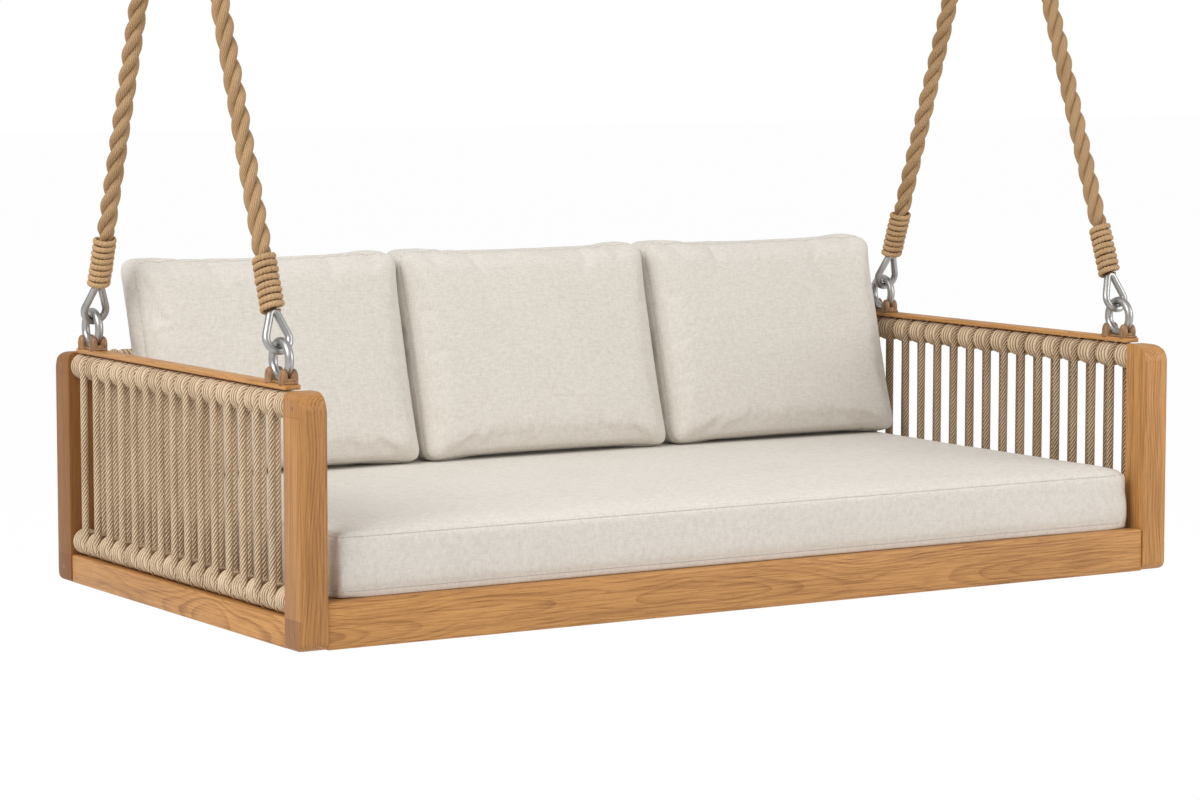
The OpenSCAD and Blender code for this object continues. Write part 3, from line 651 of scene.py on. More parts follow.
def whipping(side, end):
    place = on_rope(side, end)
    steps = 330
    rings = []
    slope = WHIP_PITCH / (math.tau * WHIP_MID_R)
    chance = random.Random(f"{side} {end}")
    beats = [(chance.uniform(0.4, 1.7), chance.uniform(0, math.tau)) for _ in range(4)]
    for i in range(-3, steps + 4):
        turn = min(max(i, 0), steps) / steps * WHIP_TURNS * math.tau
        inset = min(1, min(i + 3, steps + 3 - i) / 14)
        tuck = 1 - inset * inset * (3 - 2 * inset)
        low = i < steps / 2
        wander = sum(math.sin(turn * pace + start) for pace, start in beats) * 0.00022
        radius = WHIP_MID_R + wander * 0.8 - tuck * 0.0055
        ahead = Vector((-math.sin(turn), math.cos(turn), slope)).normalized()
        middle = Vector((radius * math.cos(turn), radius * math.sin(turn),
                         WHIP_FOOT + 0.0059 + WHIP_PITCH * turn / math.tau + wander
                         + tuck * (0.002 if low else -0.002)))
        out = Vector((math.cos(turn), math.sin(turn), 0))
        here = basis(out, ahead.cross(out), ahead, middle)
        shrink = 1 - 0.45 * tuck
        twist = turn * WHIP_MID_R / 0.021 * math.tau
        points = circle_points(0.0063 * shrink, 14, turn=-twist, lobes=3, depth=0.16)
        rings.append([place @ here @ Vector((p.x * 0.66, p.y, 0)) for p in points])
    bm = bmesh.new()
    sweep(bm, rings, False)
    return bm


class SWINGBED_OT_ropes(bpy.types.Operator):
    """Lays the four three-strand ropes and winds a whipping round the foot of each"""
    bl_idname = "swing_bed.ropes"
    bl_label = "Ropes and Whippings"

    def execute(self, context):
        settings = context.scene.swing_bed_rope
        yarns = 16
        laid = finish_of("laid_rope", fibre, "laid_rope", settings.rope, settings.rope_shade,
                         yarns, 2 * yarns / (settings.lay * 1.11), 0.0011, 0.56)
        wound = finish_of("whipping_cord", fibre, "whipping_cord",
                          [c * 1.28 for c in settings.rope], settings.rope_shade, 6, 95, 0.0007, 0.45)
        for side, end in CORNERS:
            corner = corner_name(side, end)
            body = side_name(side) + "_ropes"
            rope = settle(hanging_rope(side, end, settings), corner + "_laid_rope", laid, body,
                          [corner + "_rope"])
            bound = settle(whipping(side, end), corner + "_bound_whipping", wound, body,
                           [corner + "_whipping"])
            place = on_rope(side, end)
            path = [place @ Vector((0, 0, ROPE_FOOT + (ROPE_TOP - ROPE_FOOT) * i / 24))
                    for i in range(25)]
            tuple(path[0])
        return {"FINISHED"}


def lacing_turn(bm, place, low, high, chance):
    """One turn of the lacing rope round both bars, its bars' axes along Y of place"""
    lean = chance.uniform(-0.0008, 0.0008)
    bow = chance.uniform(-0.0012, 0.0012)
    rings = []
    stops = round_about([(0, low, LACING_TURN_R), (0, high, LACING_TURN_R)], 0.0085)
    for k, (point, heading) in enumerate(stops):
        rings_here = [point]
        if k and (point - stops[k - 1][0]).length > 0.1:
            start = stops[k - 1][0]
            rings_here = [start.lerp(point, s / 6) for s in range(1, 7)]
        for spot in rings_here:
            ahead = Vector((math.cos(heading), math.sin(heading), 0))
            up = (spot.y - low) / (high - low)
            drift = bow * math.sin(math.pi * min(1, max(0, up))) + lean * (up - 0.5)
            here = XZ_PLANE @ basis(Vector((0, 0, 1)).cross(ahead), Vector((0, 0, 1)), ahead,
                                    (spot.x, spot.y, drift))
            rings.append([place @ here @ p for p in circle_points(LACING_R, 12)])
    sweep(bm, rings, True)


class SWINGBED_OT_lacing(bpy.types.Operator):
    """Laces the rope round the bars of both arms and the back"""
    bl_idname = "swing_bed.lacing"
    bl_label = "Rope Lacing"

    def execute(self, context):
        settings = context.scene.swing_bed_rope
        # The last number is painted shade on the right arm's lacing
        cord = finish_of("lacing_rope", fibre, "lacing_rope", settings.cord, settings.cord_shade,
                         settings.yarns, -105, 0.0020, 0.75, 0.24)
        for side in (LEFT, RIGHT):
            bm = bmesh.new()
            chance = random.Random(5 + side)
            pace = 2 * INNER_Y / (ARM_DROPS + 1)
            for i in range(1, ARM_DROPS + 1):
                place = Matrix.Translation((side * ARM_X, i * pace - INNER_Y, FOOT_Z))
                lacing_turn(bm, place, ARM_LOWER_BAR, UPPER_BAR, chance)
            self.finish(bm, side_name(side) + "_arm", cord)
        bm = bmesh.new()
        chance = random.Random(11)
        pace = 2 * INNER_X / (BACK_DROPS + 1)
        for i in range(1, BACK_DROPS + 1):
            place = (Matrix.Translation((i * pace - INNER_X, BACK_BAR_Y, FOOT_Z))
                     @ Matrix.Rotation(math.pi / 2, 4, "Z"))
            lacing_turn(bm, place, BACK_LOWER_BAR, UPPER_BAR, chance)
        self.finish(bm, "back", cord)
        return {"FINISHED"}

    def finish(self, bm, name, cord):
        settle(bm, name + "_laced_rope", cord, "bed", [name + "_lacing"])


def wound_band(whole, place, span, settings, chance):
    """A band of cord wound side by side round a bar, whose axis is Z of place"""
    turns = max(3, round(span / settings.wrap_cord))
    pitch = span / turns
    swell = chance.uniform(-0.0004, 0.0004)
    bm = bmesh.new()
    layer = map_of(bm)
    outline = [(CORE_R + 0.0002, 0.0004)]
    for t in range(turns):
        for s in (0.04, 0.28, 0.5, 0.72, 0.96):
            reach = min(t + s, turns - t - s) * pitch
            crown = 0.0085 * max(0, 1 - reach / 0.0105) ** 2.2
            groove = 0.0013 * abs(2 * s - 1) ** 2.5
            outline.append((WRAP_R + 0.0016 + swell - crown - groove, (t + s) * pitch))
    outline.append((CORE_R + 0.0002, span - 0.0004))
    verts = [bm.verts.new((r, 0, z)) for r, z in outline]
    line = [bm.edges.new(pair) for pair in zip(verts, verts[1:])]
    bmesh.ops.spin(bm, geom=line, cent=(0, 0, 0), axis=(0, 0, 1), angle=math.tau, steps=26,
                   use_merge=True)
    offset = chance.uniform(0, 1)
    for face in bm.faces:
        middle = face.calc_center_median()
        facing = math.atan2(middle.y, middle.x)
        for loop in face.loops:
            a = math.atan2(loop.vert.co.y, loop.vert.co.x)
            a += math.tau * round((facing - a) / math.tau)
            loop[layer].uv = (loop.vert.co.z / pitch, a * WRAP_R + offset)
    bmesh.ops.recalc_face_normals(bm, faces=bm.faces)
    add_part(whole, bm, place @ Matrix.Rotation(chance.uniform(0, math.tau), 4, "Z"))


class SWINGBED_OT_wraps(bpy.types.Operator):
    """Winds the bands of cord on the bars, between the turns of the lacing"""
    bl_idname = "swing_bed.wraps"
    bl_label = "Cord Wraps"

    def execute(self, context):
        settings = context.scene.swing_bed_rope
        cord = finish_of("wrap_cord", fibre, "wrap_cord", [c * 0.94 for c in settings.cord],
                         settings.cord_shade, 1, 0, 0.0012, 0.75)
        room = LACING_R + 0.0003
        for name, drops, inner, bars in (
                ("left_arm", ARM_DROPS, INNER_Y, (ARM_LOWER_BAR, UPPER_BAR)),
                ("right_arm", ARM_DROPS, INNER_Y, (ARM_LOWER_BAR, UPPER_BAR)),
                ("back", BACK_DROPS, INNER_X, (BACK_LOWER_BAR, UPPER_BAR))):
            chance = random.Random(name)
            pace = 2 * inner / (drops + 1)
            bm = bmesh.new()
            for bar in bars:
                if name == "back":
                    line = (Matrix.Translation((-inner, BACK_BAR_Y, bed(bar)))
                            @ Matrix.Rotation(math.pi / 2, 4, "Y"))
                else:
                    x = ARM_X if name == "right_arm" else -ARM_X
                    line = (Matrix.Translation((x, -inner, bed(bar)))
                            @ Matrix.Rotation(-math.pi / 2, 4, "X"))
                for i in range(drops + 1):
                    start = 0.0003 if i == 0 else i * pace + room
                    stop = (drops + 1) * pace - 0.0003 if i == drops else (i + 1) * pace - room
                    wound_band(bm, line @ Matrix.Translation((0, 0, start)), stop - start,
                               settings, chance)
            settle(bm, name + "_wound_cord", cord, "bed", [name + "_wraps"])
        return {"FINISHED"}


# ---------------------------------------------------------------- steel


class SWINGBED_OT_steel(bpy.types.Operator):
    """Bends the rings, loops and links, and finishes the ceiling plates and eye sockets"""
    bl_idname = "swing_bed.steel"
    bl_label = "Steel Fittings"

    def execute(self, context):
        settings = context.scene.swing_bed_steel
        bright = finish_of("ring_steel", satin_steel, "ring_steel", settings)
        plain = finish_of("hanger_steel", satin_steel, "hanger_steel", settings, 0.92)
        for side, end in CORNERS:
            corner = corner_name(side, end)
            bm = bmesh.new()
            bmesh.ops.create_circle(bm, segments=28, radius=RING_BAR_R)
            bmesh.ops.translate(bm, verts=bm.verts, vec=(0, RING_R, 0))
            bmesh.ops.spin(bm, geom=bm.edges[:], cent=(0, 0, 0), axis=(1, 0, 0), steps=72,
                           angle=math.tau, use_merge=True)
            bmesh.ops.rotate(bm, verts=bm.verts, matrix=Matrix.Rotation(0.1, 3, "X"))
            bmesh.ops.transform(bm, verts=bm.verts, matrix=at_ring(side, end))
            bmesh.ops.recalc_face_normals(bm, faces=bm.faces)
            settle(bm, corner + "_round_ring", bright, "bed", [corner + "_ring"])
            bm = bmesh.new()
            wide = 0.0235 - RING_BAR_R - WIRE_R - 0.0008
            bent_bar(bm, [(0, wide, 0.0235), (0, wide + 0.0453, WIRE_R + 0.0001)], WIRE_R,
                     on_rope(side, end) @ XZ_PLANE, 0.0035, 28)
            settle(bm, corner + "_pear_loop", bright, side_name(side) + "_ropes",
                   [corner + "_loop"])
            dress(corner + "_eye_socket", plain)
        for side in (LEFT, RIGHT):
            bm = bmesh.new()
            bent_bar(bm, [(-0.030, -0.121, 0.014), (0.030, -0.121, 0.014),
                          (0, -0.060, LINK_STEP)], WIRE_R,
                     Matrix.Translation((side * ARM_X, 0, 0)) @ YZ_PLANE, 0.004, 28)
            settle(bm, side_name(side) + "_bent_link", plain, side_name(side) + "_link",
                   [side_name(side) + "_link"])
            dress(side_name(side) + "_ceiling_plate", plain)
        dress("saddle_bolts", plain)
        dress("frame_bolts", plain)
        return {"FINISHED"}


# ---------------------------------------------------------------- wood


class SWINGBED_OT_frame(bpy.types.Operator):
    """Shapes the teak posts and rails, and finishes the bars, slats and beam"""
    bl_idname = "swing_bed.frame"
    bl_label = "Teak Frame"

    def execute(self, context):
        wood = context.scene.swing_bed_wood
        upright = finish_of("teak_posts", teak, "teak_posts", "Z", (0.955, 0.60), wood, True)
        long_grain = finish_of("teak_rails", teak, "teak_rails", "X", (0.50, bed(0.035)), wood)
        cross_grain = finish_of("teak_arms", teak, "teak_arms", "Y", (0.94, bed(0.02)), wood)
        caps = finish_of("teak_caps", teak, "teak_caps", "Y", (0.99, bed(0.43)), wood)
        for side, end in CORNERS:
            self.post(side, end, upright, wood)
        for end in (FRONT, BACK):
            bm = bmesh.new()
            low, high = sorted((end * 0.546, end * 0.508))
            board(bm, (-INNER_X + 0.0002, low, bed(0)), (INNER_X - 0.0002, high, bed(0.088)),
                  wood.edge_ease)
            name = "front_rail" if end == FRONT else "back_rail"
            settle(bm, name + "_board", long_grain, "bed", [name], sharp=60)
        for side in (LEFT, RIGHT):
            bm = bmesh.new()
            low, high = sorted((side * 1.018, side * 0.980))
            board(bm, (low, -INNER_Y + 0.0002, bed(0)), (high, INNER_Y - 0.0002, bed(0.057)),
                  wood.edge_ease)
            name = side_name(side)
            settle(bm, name + "_side_board", cross_grain, "bed", [name + "_side_rail"],
                   sharp=60)
            low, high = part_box(name + "_arm_cap")
            bm = bmesh.new()
            board(bm, low, high, 0.0025)
            settle(bm, name + "_cap_strip", caps, "bed", [name + "_arm_cap"], sharp=60)
            dress(name + "_arm_bars", cross_grain)
        dress("back_bars", long_grain)
        # painted shade: the slats, ledgers and beam under the seat get teak darkened to 0.4 of its
        # colour, standing for the shade under the cushion
        base = finish_of("teak_base", teak, "teak_base", "Y", (0.3, bed(-0.05)), wood, False, 0.4)
        for node in ("slats", "slat_ledgers", "centre_beam"):
            dress(node, base)
        return {"FINISHED"}

    def post(self, side, end, material, wood):
        node = corner_name(side, end) + "_post"
        low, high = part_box(node)
        bm = bmesh.new()
        bmesh.ops.create_cube(bm, size=1)
        bmesh.ops.scale(bm, vec=high - low, verts=bm.verts)
        bmesh.ops.translate(bm, vec=(low + high) / 2, verts=bm.verts)
        x, y = side * 1.020, end * 0.550
        foot, top = bed(0), bed(POST_H)
        out_x, out_y, up, down = (side, 0, 0), (0, end, 0), (0, 0, 1), (0, 0, -1)
        for way, radius, level, facing, cuts in (
                (out_y, 0.038, top, up, 12), (out_y, 0.020, foot, down, 8),
                (out_x, 0.016, top, up, 7), (out_x, 0.008, foot, down, 5)):
            middle = Vector((x, y, level)) - (Vector(way) + Vector(facing)) * radius
            round_edge(bm, middle, radius, way, facing, cuts)
        bmesh.ops.recalc_face_normals(bm, faces=bm.faces)
        ease_edges(bm, {e for e in bm.edges if e.calc_face_angle(0) > math.radians(50)},
                   wood.post_ease, 4)
        settle(bm, node + "_timber", material, "bed", [node], sharp=40)


class SWINGBED_OT_saddles(bpy.types.Operator):
    """Turns the saddles' horns, and finishes the plugs and pegs"""
    bl_idname = "swing_bed.saddles"
    bl_label = "Saddles, Plugs and Pegs"

    def execute(self, context):
        wood = context.scene.swing_bed_wood
        dark = finish_of("dark_wood", dark_wood, wood)
        for side, end in CORNERS:
            corner = corner_name(side, end)
            bm = bmesh.new()
            foot = at_ring(side, end) @ Matrix.Translation((0, 0, -RING_RISE))
            for y in (-0.028, 0.028):
                block = bmesh.new()
                bmesh.ops.create_cone(block, cap_ends=True, segments=36, radius1=0.013,
                                      radius2=0.013, depth=0.0104)
                ease_edges(block, {e for e in block.edges if e.calc_face_angle(0) > 1}, 0.0016)
                add_part(bm, block, Matrix.Translation((0, y, 0.0052)))
                for x in (-0.0105, 0.0105):
                    self.horn(bm, Matrix.Translation((x, y, 0)) @ Matrix.Diagonal((1, 1.3, 1, 1)))
            board(bm, (-0.0125, -0.046, 0), (0.0125, 0.046, 0.0048), 0.002)
            bmesh.ops.transform(bm, verts=bm.verts, matrix=foot)
            bmesh.ops.recalc_face_normals(bm, faces=bm.faces)
            settle(bm, corner + "_turned_saddle", dark, "bed", [corner + "_saddle"],
                   sharp=50)
        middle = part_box("bolt_plugs")[1].y - 0.005
        spots = {"bolt_plugs": [(side, end, bed(0.029)) for side, end in CORNERS]
                 + [(side, BACK, bed(UPPER_BAR)) for side in (LEFT, RIGHT)],
                 "bar_pegs": [(side, FRONT, bed(UPPER_BAR)) for side in (LEFT, RIGHT)]}
        for node, places in spots.items():
            bm = bmesh.new()
            for side, end, height in places:
                plug = bmesh.new()
                outline = [(0.0, 0.0009), (0.0022, 0.0008), (0.0040, 0.0004), (0.0048, -0.0002),
                           (0.0048, -0.0050), (0.0, -0.0050)]
                verts = [plug.verts.new((r, 0, z)) for r, z in outline]
                line = [plug.edges.new(pair) for pair in zip(verts, verts[1:])]
                bmesh.ops.spin(plug, geom=line, cent=(0, 0, 0), axis=(0, 0, 1), steps=24,
                               angle=math.tau, use_merge=True)
                bmesh.ops.remove_doubles(plug, verts=plug.verts, dist=1e-5)
                bmesh.ops.recalc_face_normals(plug, faces=plug.faces)
                add_part(bm, plug, Matrix.Translation((side * 1.020, end * middle, height))
                         @ Matrix.Rotation(side * math.pi / 2, 4, "Y"))
            settle(bm, node + "_domed", dark, "bed", [node], sharp=50)
        return {"FINISHED"}

    def horn(self, whole, place):
        """A turned horn with a blunt point and a flat foot"""
        outline = [(0.0, 0.0285), (0.0022, 0.0281), (0.0043, 0.0266), (0.0062, 0.0237),
                   (0.0076, 0.0195), (0.0084, 0.0145), (0.0086, 0.0095), (0.0082, 0.0045),
                   (0.0086, 0.0), (0.0, 0.0)]
        bm = bmesh.new()
        verts = [bm.verts.new((r, 0, z)) for r, z in outline]
        line = [bm.edges.new(pair) for pair in zip(verts, verts[1:])]
        bmesh.ops.spin(bm, geom=line, cent=(0, 0, 0), axis=(0, 0, 1), steps=28, angle=math.tau,
                       use_merge=True)
        bmesh.ops.remove_doubles(bm, verts=bm.verts, dist=1e-5)
        bmesh.ops.recalc_face_normals(bm, faces=bm.faces)
        add_part(whole, bm, place)


# ---------------------------------------------------------------- cushions


def evaluated_copy(piece):
    graph = bpy.context.evaluated_depsgraph_get()
    return bpy.data.meshes.new_from_object(piece.evaluated_get(graph))


def swap_mesh(piece, mesh):
    old = piece.data
    piece.modifiers.clear()
    piece.data = mesh
    bpy.data.meshes.remove(old)


def fill_with_air(piece, voxel, pressure, cap, held):
    """Remeshes a cushion, swells it as cloth under pressure and keeps each point within cap"""
    remesh = piece.modifiers.new("remesh", "REMESH")
    remesh.mode, remesh.voxel_size = "VOXEL", voxel
    swap_mesh(piece, evaluated_copy(piece))
    start = [v.co.copy() for v in piece.data.vertices]
    cloth = piece.modifiers.new("cloth", "CLOTH")
    cloth.settings.quality = 5
    cloth.settings.mass = 0.3
    cloth.settings.tension_stiffness = cloth.settings.compression_stiffness = 18
    cloth.settings.shear_stiffness = 6
    cloth.settings.bending_stiffness = 1.5
    cloth.settings.use_pressure = True
    cloth.settings.uniform_pressure_force = pressure
    cloth.settings.effector_weights.gravity = 0
    cloth.collision_settings.use_collision = False
    scene = bpy.context.scene
    for moment in range(1, 21):
        scene.frame_set(moment)
    mesh = evaluated_copy(piece)
    scene.frame_set(1)
    swap_mesh(piece, mesh)
    for vert, was in zip(piece.data.vertices, start):
        move = vert.co - was
        if move.length > cap:
            move *= cap / move.length
        vert.co = held(was + move)


def fit(piece, lie, stand, low, high):
    """Stretches a filled cushion, laid flat for it, until it fills the box again"""
    spots = [lie(v.co) for v in piece.data.vertices]
    for axis in range(3):
        least, most = min(p[axis] for p in spots), max(p[axis] for p in spots)
        for p in spots:
            p[axis] = low[axis] + (p[axis] - least) / (most - least) * (high[axis] - low[axis])
    for vert, spot in zip(piece.data.vertices, spots):
        vert.co = stand(spot)


def subdivide_once(piece):
    smooth = piece.modifiers.new("subdivide", "SUBSURF")
    smooth.levels = smooth.render_levels = 1
    swap_mesh(piece, evaluated_copy(piece))


def walk_round(width, height, radius, pace):
    """Points and outward ways along a rounded rectangle about the origin"""
    stops = []
    for q, (sx, sy) in enumerate(((1, 1), (-1, 1), (-1, -1), (1, -1))):
        cx, cy = sx * (width / 2 - radius), sy * (height / 2 - radius)
        for k in range(7):
            a = math.pi / 2 * (q + k / 6)
            stops.append((Vector((cx + radius * math.cos(a), cy + radius * math.sin(a))), a))
        span = (height if q % 2 else width) - 2 * radius
        steps = int(span / pace)
        a = math.pi / 2 * (q + 1)
        ahead = Vector((-math.sin(a), math.cos(a)))
        start = stops[-1][0]
        for k in range(1, steps):
            stops.append((start + ahead * span * k / steps, a))
    return stops


def sew(piece, name, thread, spots, seam_r, pinch, reach):
    """Draws the cover in along a line of spots and lays a sewn seam in the hollow"""
    mesh = piece.data
    tree = BVHTree.FromObject(piece, bpy.context.evaluated_depsgraph_get())
    line = []
    for outside, way in spots:
        hit, normal, _, _ = tree.ray_cast(outside, way)
        if hit is None:
            raise RuntimeError(f"{name}: a seam misses its cushion")
        line.append((hit, normal))
    near = KDTree(len(line))
    for i, (hit, _) in enumerate(line):
        near.insert(hit, i)
    near.balance()
    for vert in mesh.vertices:
        _, i, far = near.find(vert.co)
        if far < reach * 3:
            vert.co -= line[i][1] * pinch * math.exp(-(far / reach) ** 2)
    rings = []
    closed = line + line[:1]
    for i, (hit, normal) in enumerate(closed):
        after = line[(i + 1) % len(line)][0]
        before = line[(i - 1) % len(line)][0]
        ahead = (after - before).normalized()
        out = (normal - ahead * normal.dot(ahead)).normalized()
        here = basis(out, ahead.cross(out), ahead, hit - normal * (pinch - seam_r * 0.35))
        rings.append([here @ p for p in circle_points(seam_r, 6)])
    bm = bmesh.new()
    sweep(bm, rings, True)
    return settle(bm, name, thread, "bed")


def pillow(width, height, depth, ease, ease_low, draw, crown, cuts=30):
    """A boxed cushion about the origin: rounded edges, crowned faces and sides that draw in"""
    bm = bmesh.new()
    bmesh.ops.create_cube(bm, size=2)
    bmesh.ops.subdivide_edges(bm, edges=bm.edges[:], cuts=cuts, use_grid_fill=True)
    half = Vector((width / 2, height / 2, depth / 2))
    for v in bm.verts:
        u, w = v.co.x, v.co.y
        full = Vector((v.co.x * half.x, v.co.y * half.y, v.co.z * half.z))
        soft = ease if v.co.z >= 0 else ease_low
        inner = Vector([min(max(c, soft - k), k - soft) for c, k in zip(full, half)])
        out = full - inner
        if out.length > 1e-9:
            full = inner + out.normalized() * soft
        bow_u, bow_w = max(0, 1 - u * u), max(0, 1 - w * w)
        full.x -= math.copysign(draw * bow_w * abs(u) ** 4, u)
        full.y -= math.copysign(draw * bow_u * abs(w) ** 4, w)
        full.z += v.co.z * crown * (bow_u * bow_w) ** 0.5
        v.co = full
    bmesh.ops.recalc_face_normals(bm, faces=bm.faces)
    return bm


class SWINGBED_OT_cushions(bpy.types.Operator):
    """Fills, sews and places the seat cushion and the three back cushions"""
    bl_idname = "swing_bed.cushions"
    bl_label = "Cushions"

    def execute(self, context):
        settings = context.scene.swing_bed_linen
        cover = finish_of("linen", linen, settings)
        thread = finish_of("seam_thread", seam_thread, settings)
        self.seat(cover, thread, settings)
        for place in ("left", "middle", "right"):
            self.back(place, cover, thread, settings)
        return {"FINISHED"}

    def seat(self, cover, thread, settings):
        low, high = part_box("seat_cushion")
        middle = (low + high) / 2
        depth = 0.122
        flat = low.z
        bm = pillow(high.x - low.x - 0.002, high.y - low.y - 0.002, depth - 0.001, 0.017, 0.006,
                    0.001, 0.004)
        bmesh.ops.translate(bm, verts=bm.verts, vec=(middle.x, middle.y, flat + depth / 2))
        piece = settle(bm, "seat_boxed_cushion", cover, "bed", ["seat_cushion"])

        def held(point):
            return Vector((min(max(point.x, low.x), high.x), min(max(point.y, low.y), high.y),
                           min(max(point.z, flat), high.z + 0.006)))

        fill_with_air(piece, 0.0095, settings.pressure, 0.006, held)
        fit(piece, lambda point: point, lambda point: point, low - Vector((0, 0.014, 0)),
            high + Vector((0.022, 0, 0.008)))
        for vert in piece.data.vertices:
            rise = (vert.co.z - flat) / SEAT_REST
            if rise < 1:
                vert.co.z = flat + SEAT_REST * max(0, rise - 0.4) / 0.6
        subdivide_once(piece)
        for name, level in (("seat_top_seam", 0.114), ("seat_bottom_seam", 0.013)):
            spots = []
            for point, a in walk_round(high.x - low.x + 0.1, high.y - low.y + 0.1, 0.09, 0.012):
                way = Vector((-math.cos(a), -math.sin(a), 0))
                spots.append((Vector((middle.x + point.x, middle.y + point.y, flat + level)), way))
            seam = sew(piece, name, thread, spots, settings.seam_r, 0.0022, 0.007)
            seam.parent = piece
        piece.data.shade_smooth()

    def back(self, place, cover, thread, settings):
        low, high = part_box(place + "_back_cushion")
        middle = (low.x + high.x) / 2
        width, height, depth = 0.612, 0.432, 0.128
        slope = 0.118 / 0.432
        base = low.z + 0.002
        front = high.y - 0.018 - depth - slope * height

        def lean(point):
            """From a cushion lying on its back to its place against the bar"""
            return Vector((middle + point.x, front + depth / 2 - point.z
                           + slope * (point.y + height / 2), base + point.y + height / 2))

        def lie(point):
            """The other way round, from its place back to lying about the origin"""
            up = point.z - base - height / 2
            return Vector((point.x - middle, up,
                           front + depth / 2 + slope * (up + height / 2) - point.y))

        bm = pillow(width - 0.004, height - 0.004, depth - 0.016, 0.030, 0.030, 0.003, 0.014)
        for v in bm.verts:
            v.co = lean(v.co)
        bmesh.ops.recalc_face_normals(bm, faces=bm.faces)
        piece = settle(bm, place + "_loose_cushion", cover, "bed", [place + "_back_cushion"])

        reach = Vector((width / 2 + 0.003, height / 2 + 0.003, depth / 2 + 0.020))

        def held(point):
            return lean(Vector([min(max(c, -r), r) for c, r in zip(lie(point), reach)]))

        fill_with_air(piece, 0.0062, settings.pressure, 0.009, held)
        fit(piece, lie, lean,
            Vector((-width / 2 + 0.004, -height / 2 + 0.002, -depth / 2 - 0.012)),
            Vector((width / 2 + 0.010, height / 2 + 0.017, depth / 2 + 0.026)))
        subdivide_once(piece)
        for name, offset in (("front_seam", 0.040), ("back_seam", -0.040)):
            spots = []
            for point, a in walk_round(width + 0.1, height + 0.1, 0.09, 0.010):
                start = lean(Vector((point.x, point.y, offset)))
                stop = lean(Vector((point.x - math.cos(a), point.y - math.sin(a), offset)))
                spots.append((start, (stop - start).normalized()))
            seam = sew(piece, f"{place}_cushion_{name}", thread, spots, settings.seam_r, 0.003,
                       0.007)
            seam.parent = piece
        piece.data.shade_smooth()


# ---------------------------------------------------------------- stage


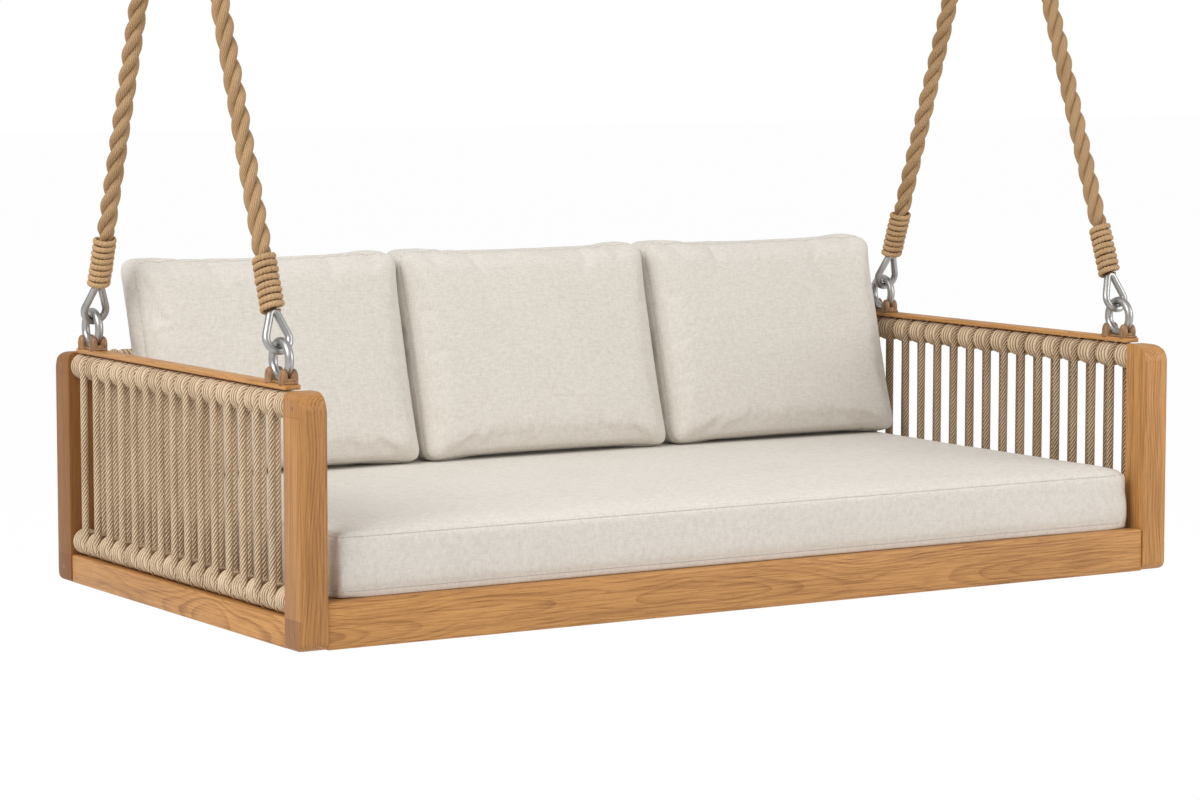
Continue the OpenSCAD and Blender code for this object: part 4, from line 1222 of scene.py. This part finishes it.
class SWINGBED_OT_stage(bpy.types.Operator):
    """Sets up the floor, the studio light and the camera"""
    bl_idname = "swing_bed.stage"
    bl_label = "Stage"

    def execute(self, context):
        settings = context.scene.swing_bed_stage
        scene = context.scene
        scene.view_settings.view_transform = "Standard"
        bm = bmesh.new()
        bmesh.ops.create_grid(bm, x_segments=2, y_segments=2, size=60)
        bmesh.ops.translate(bm, vec=(0, 0, bed(-settings.floor_drop)), verts=bm.verts)
        mesh = bpy.data.meshes.new("floor")
        bm.to_mesh(mesh)
        bm.free()
        floor = bpy.data.objects.new("floor", mesh)
        scene.collection.objects.link(floor)
        mesh.materials.append(studio_white("studio_floor", 1.04, 0.10))
        self.world(scene, settings)
        self.lamp("key", (-5.0, -1.7, 2.7), (0, 0, -1.5), 4.5, settings.key_power)
        self.lamp("fill", (4.2, -4.8, 0.6), (0.3, 0, -1.5), 4.0, settings.fill_power)
        camera = bpy.data.objects.new("camera", bpy.data.cameras.new("camera"))
        camera.data.sensor_width = 36
        camera.data.lens = 110.52
        camera.data.clip_end = 200
        camera.location = (-4.0414, -6.4814, -0.6373)
        camera.rotation_euler = (math.radians(90 - 5.684), 0, math.radians(-31.69))
        scene.collection.objects.link(camera)
        scene.camera = camera
        return {"FINISHED"}

    def lamp(self, name, place, target, size, power):
        data = bpy.data.lights.new(name, "AREA")
        data.shape = "DISK"
        data.size, data.energy = size, power
        lamp = bpy.data.objects.new(name, data)
        lamp.location = place
        lamp.rotation_euler = (Vector(target) - Vector(place)).to_track_quat("-Z", "Y").to_euler()
        bpy.context.scene.collection.objects.link(lamp)

    def world(self, scene, settings):
        """Even light, stronger from above, behind a white that the camera and mirrors see"""
        world = bpy.data.worlds.new("studio")
        scene.world = world
        world.use_nodes = True
        tree = world.node_tree
        tree.nodes.clear()
        links = tree.links
        spot = tree.nodes.new("ShaderNodeTexCoord")
        height = tree.nodes.new("ShaderNodeSeparateXYZ")
        links.new(spot.outputs["Generated"], height.inputs[0])
        level = tree.nodes.new("ShaderNodeMapRange")
        links.new(height.outputs["Z"], level.inputs["Value"])
        for name, number in (("From Min", -0.6), ("From Max", 0.8),
                             ("To Min", settings.ambient * 0.5), ("To Max", settings.ambient * 1.4)):
            level.inputs[name].default_value = number
        even = tree.nodes.new("ShaderNodeBackground")
        links.new(level.outputs[0], even.inputs["Strength"])
        paths = tree.nodes.new("ShaderNodeLightPath")
        half = tree.nodes.new("ShaderNodeMath")
        half.operation = "MULTIPLY"
        half.inputs[1].default_value = 0.25
        links.new(paths.outputs["Is Glossy Ray"], half.inputs[0])
        clear = tree.nodes.new("ShaderNodeMath")
        clear.operation = "MAXIMUM"
        links.new(half.outputs[0], clear.inputs[0])
        links.new(paths.outputs["Is Transmission Ray"], clear.inputs[1])
        seen = tree.nodes.new("ShaderNodeMath")
        seen.operation = "MAXIMUM"
        links.new(paths.outputs["Is Camera Ray"], seen.inputs[0])
        links.new(clear.outputs[0], seen.inputs[1])
        white = tree.nodes.new("ShaderNodeBackground")
        both = tree.nodes.new("ShaderNodeMixShader")
        out = tree.nodes.new("ShaderNodeOutputWorld")
        for background in (even, white):
            background.inputs["Color"].default_value = (1, 1, 1, 1)
        links.new(seen.outputs[0], both.inputs[0])
        links.new(even.outputs[0], both.inputs[1])
        links.new(white.outputs[0], both.inputs[2])
        links.new(both.outputs[0], out.inputs["Surface"])


# ---------------------------------------------------------------- the add-on


class SWINGBED_PT_panel(bpy.types.Panel):
    """Sizes and colours of the swing bed, and the steps that make it"""
    bl_idname = "SWINGBED_PT_panel"
    bl_label = "Swing Bed"
    bl_space_type = "VIEW_3D"
    bl_region_type = "UI"
    bl_category = "Swing Bed"

    def draw(self, context):
        for group, _ in SETTINGS:
            box = self.layout.box()
            settings = getattr(context.scene, group)
            for name in settings.bl_rna.properties.keys():
                if name not in ("rna_type", "name"):
                    box.prop(settings, name)
        for step in STEPS:
            self.layout.operator(step.bl_idname)


SETTINGS = (
    ("swing_bed_stage", StageSettings), ("swing_bed_wood", WoodSettings),
    ("swing_bed_rope", RopeSettings), ("swing_bed_steel", SteelSettings),
    ("swing_bed_linen", LinenSettings))
STEPS = (SWINGBED_OT_stage, SWINGBED_OT_ropes, SWINGBED_OT_lacing, SWINGBED_OT_wraps,
         SWINGBED_OT_steel, SWINGBED_OT_frame, SWINGBED_OT_saddles, SWINGBED_OT_cushions)


def register():
    for group, kind in SETTINGS:
        bpy.utils.register_class(kind)
        setattr(bpy.types.Scene, group, bpy.props.PointerProperty(type=kind))
    for kind in STEPS + (SWINGBED_PT_panel,):
        bpy.utils.register_class(kind)


def unregister():
    for kind in reversed(STEPS + (SWINGBED_PT_panel,)):
        bpy.utils.unregister_class(kind)
    for group, kind in reversed(SETTINGS):
        delattr(bpy.types.Scene, group)
        bpy.utils.unregister_class(kind)


def main():
    register()
    for step in (bpy.ops.swing_bed.stage, bpy.ops.swing_bed.ropes, bpy.ops.swing_bed.lacing,
                 bpy.ops.swing_bed.wraps, bpy.ops.swing_bed.steel, bpy.ops.swing_bed.frame,
                 bpy.ops.swing_bed.saddles, bpy.ops.swing_bed.cushions):
        step()


if __name__ == "__main__":
    main()
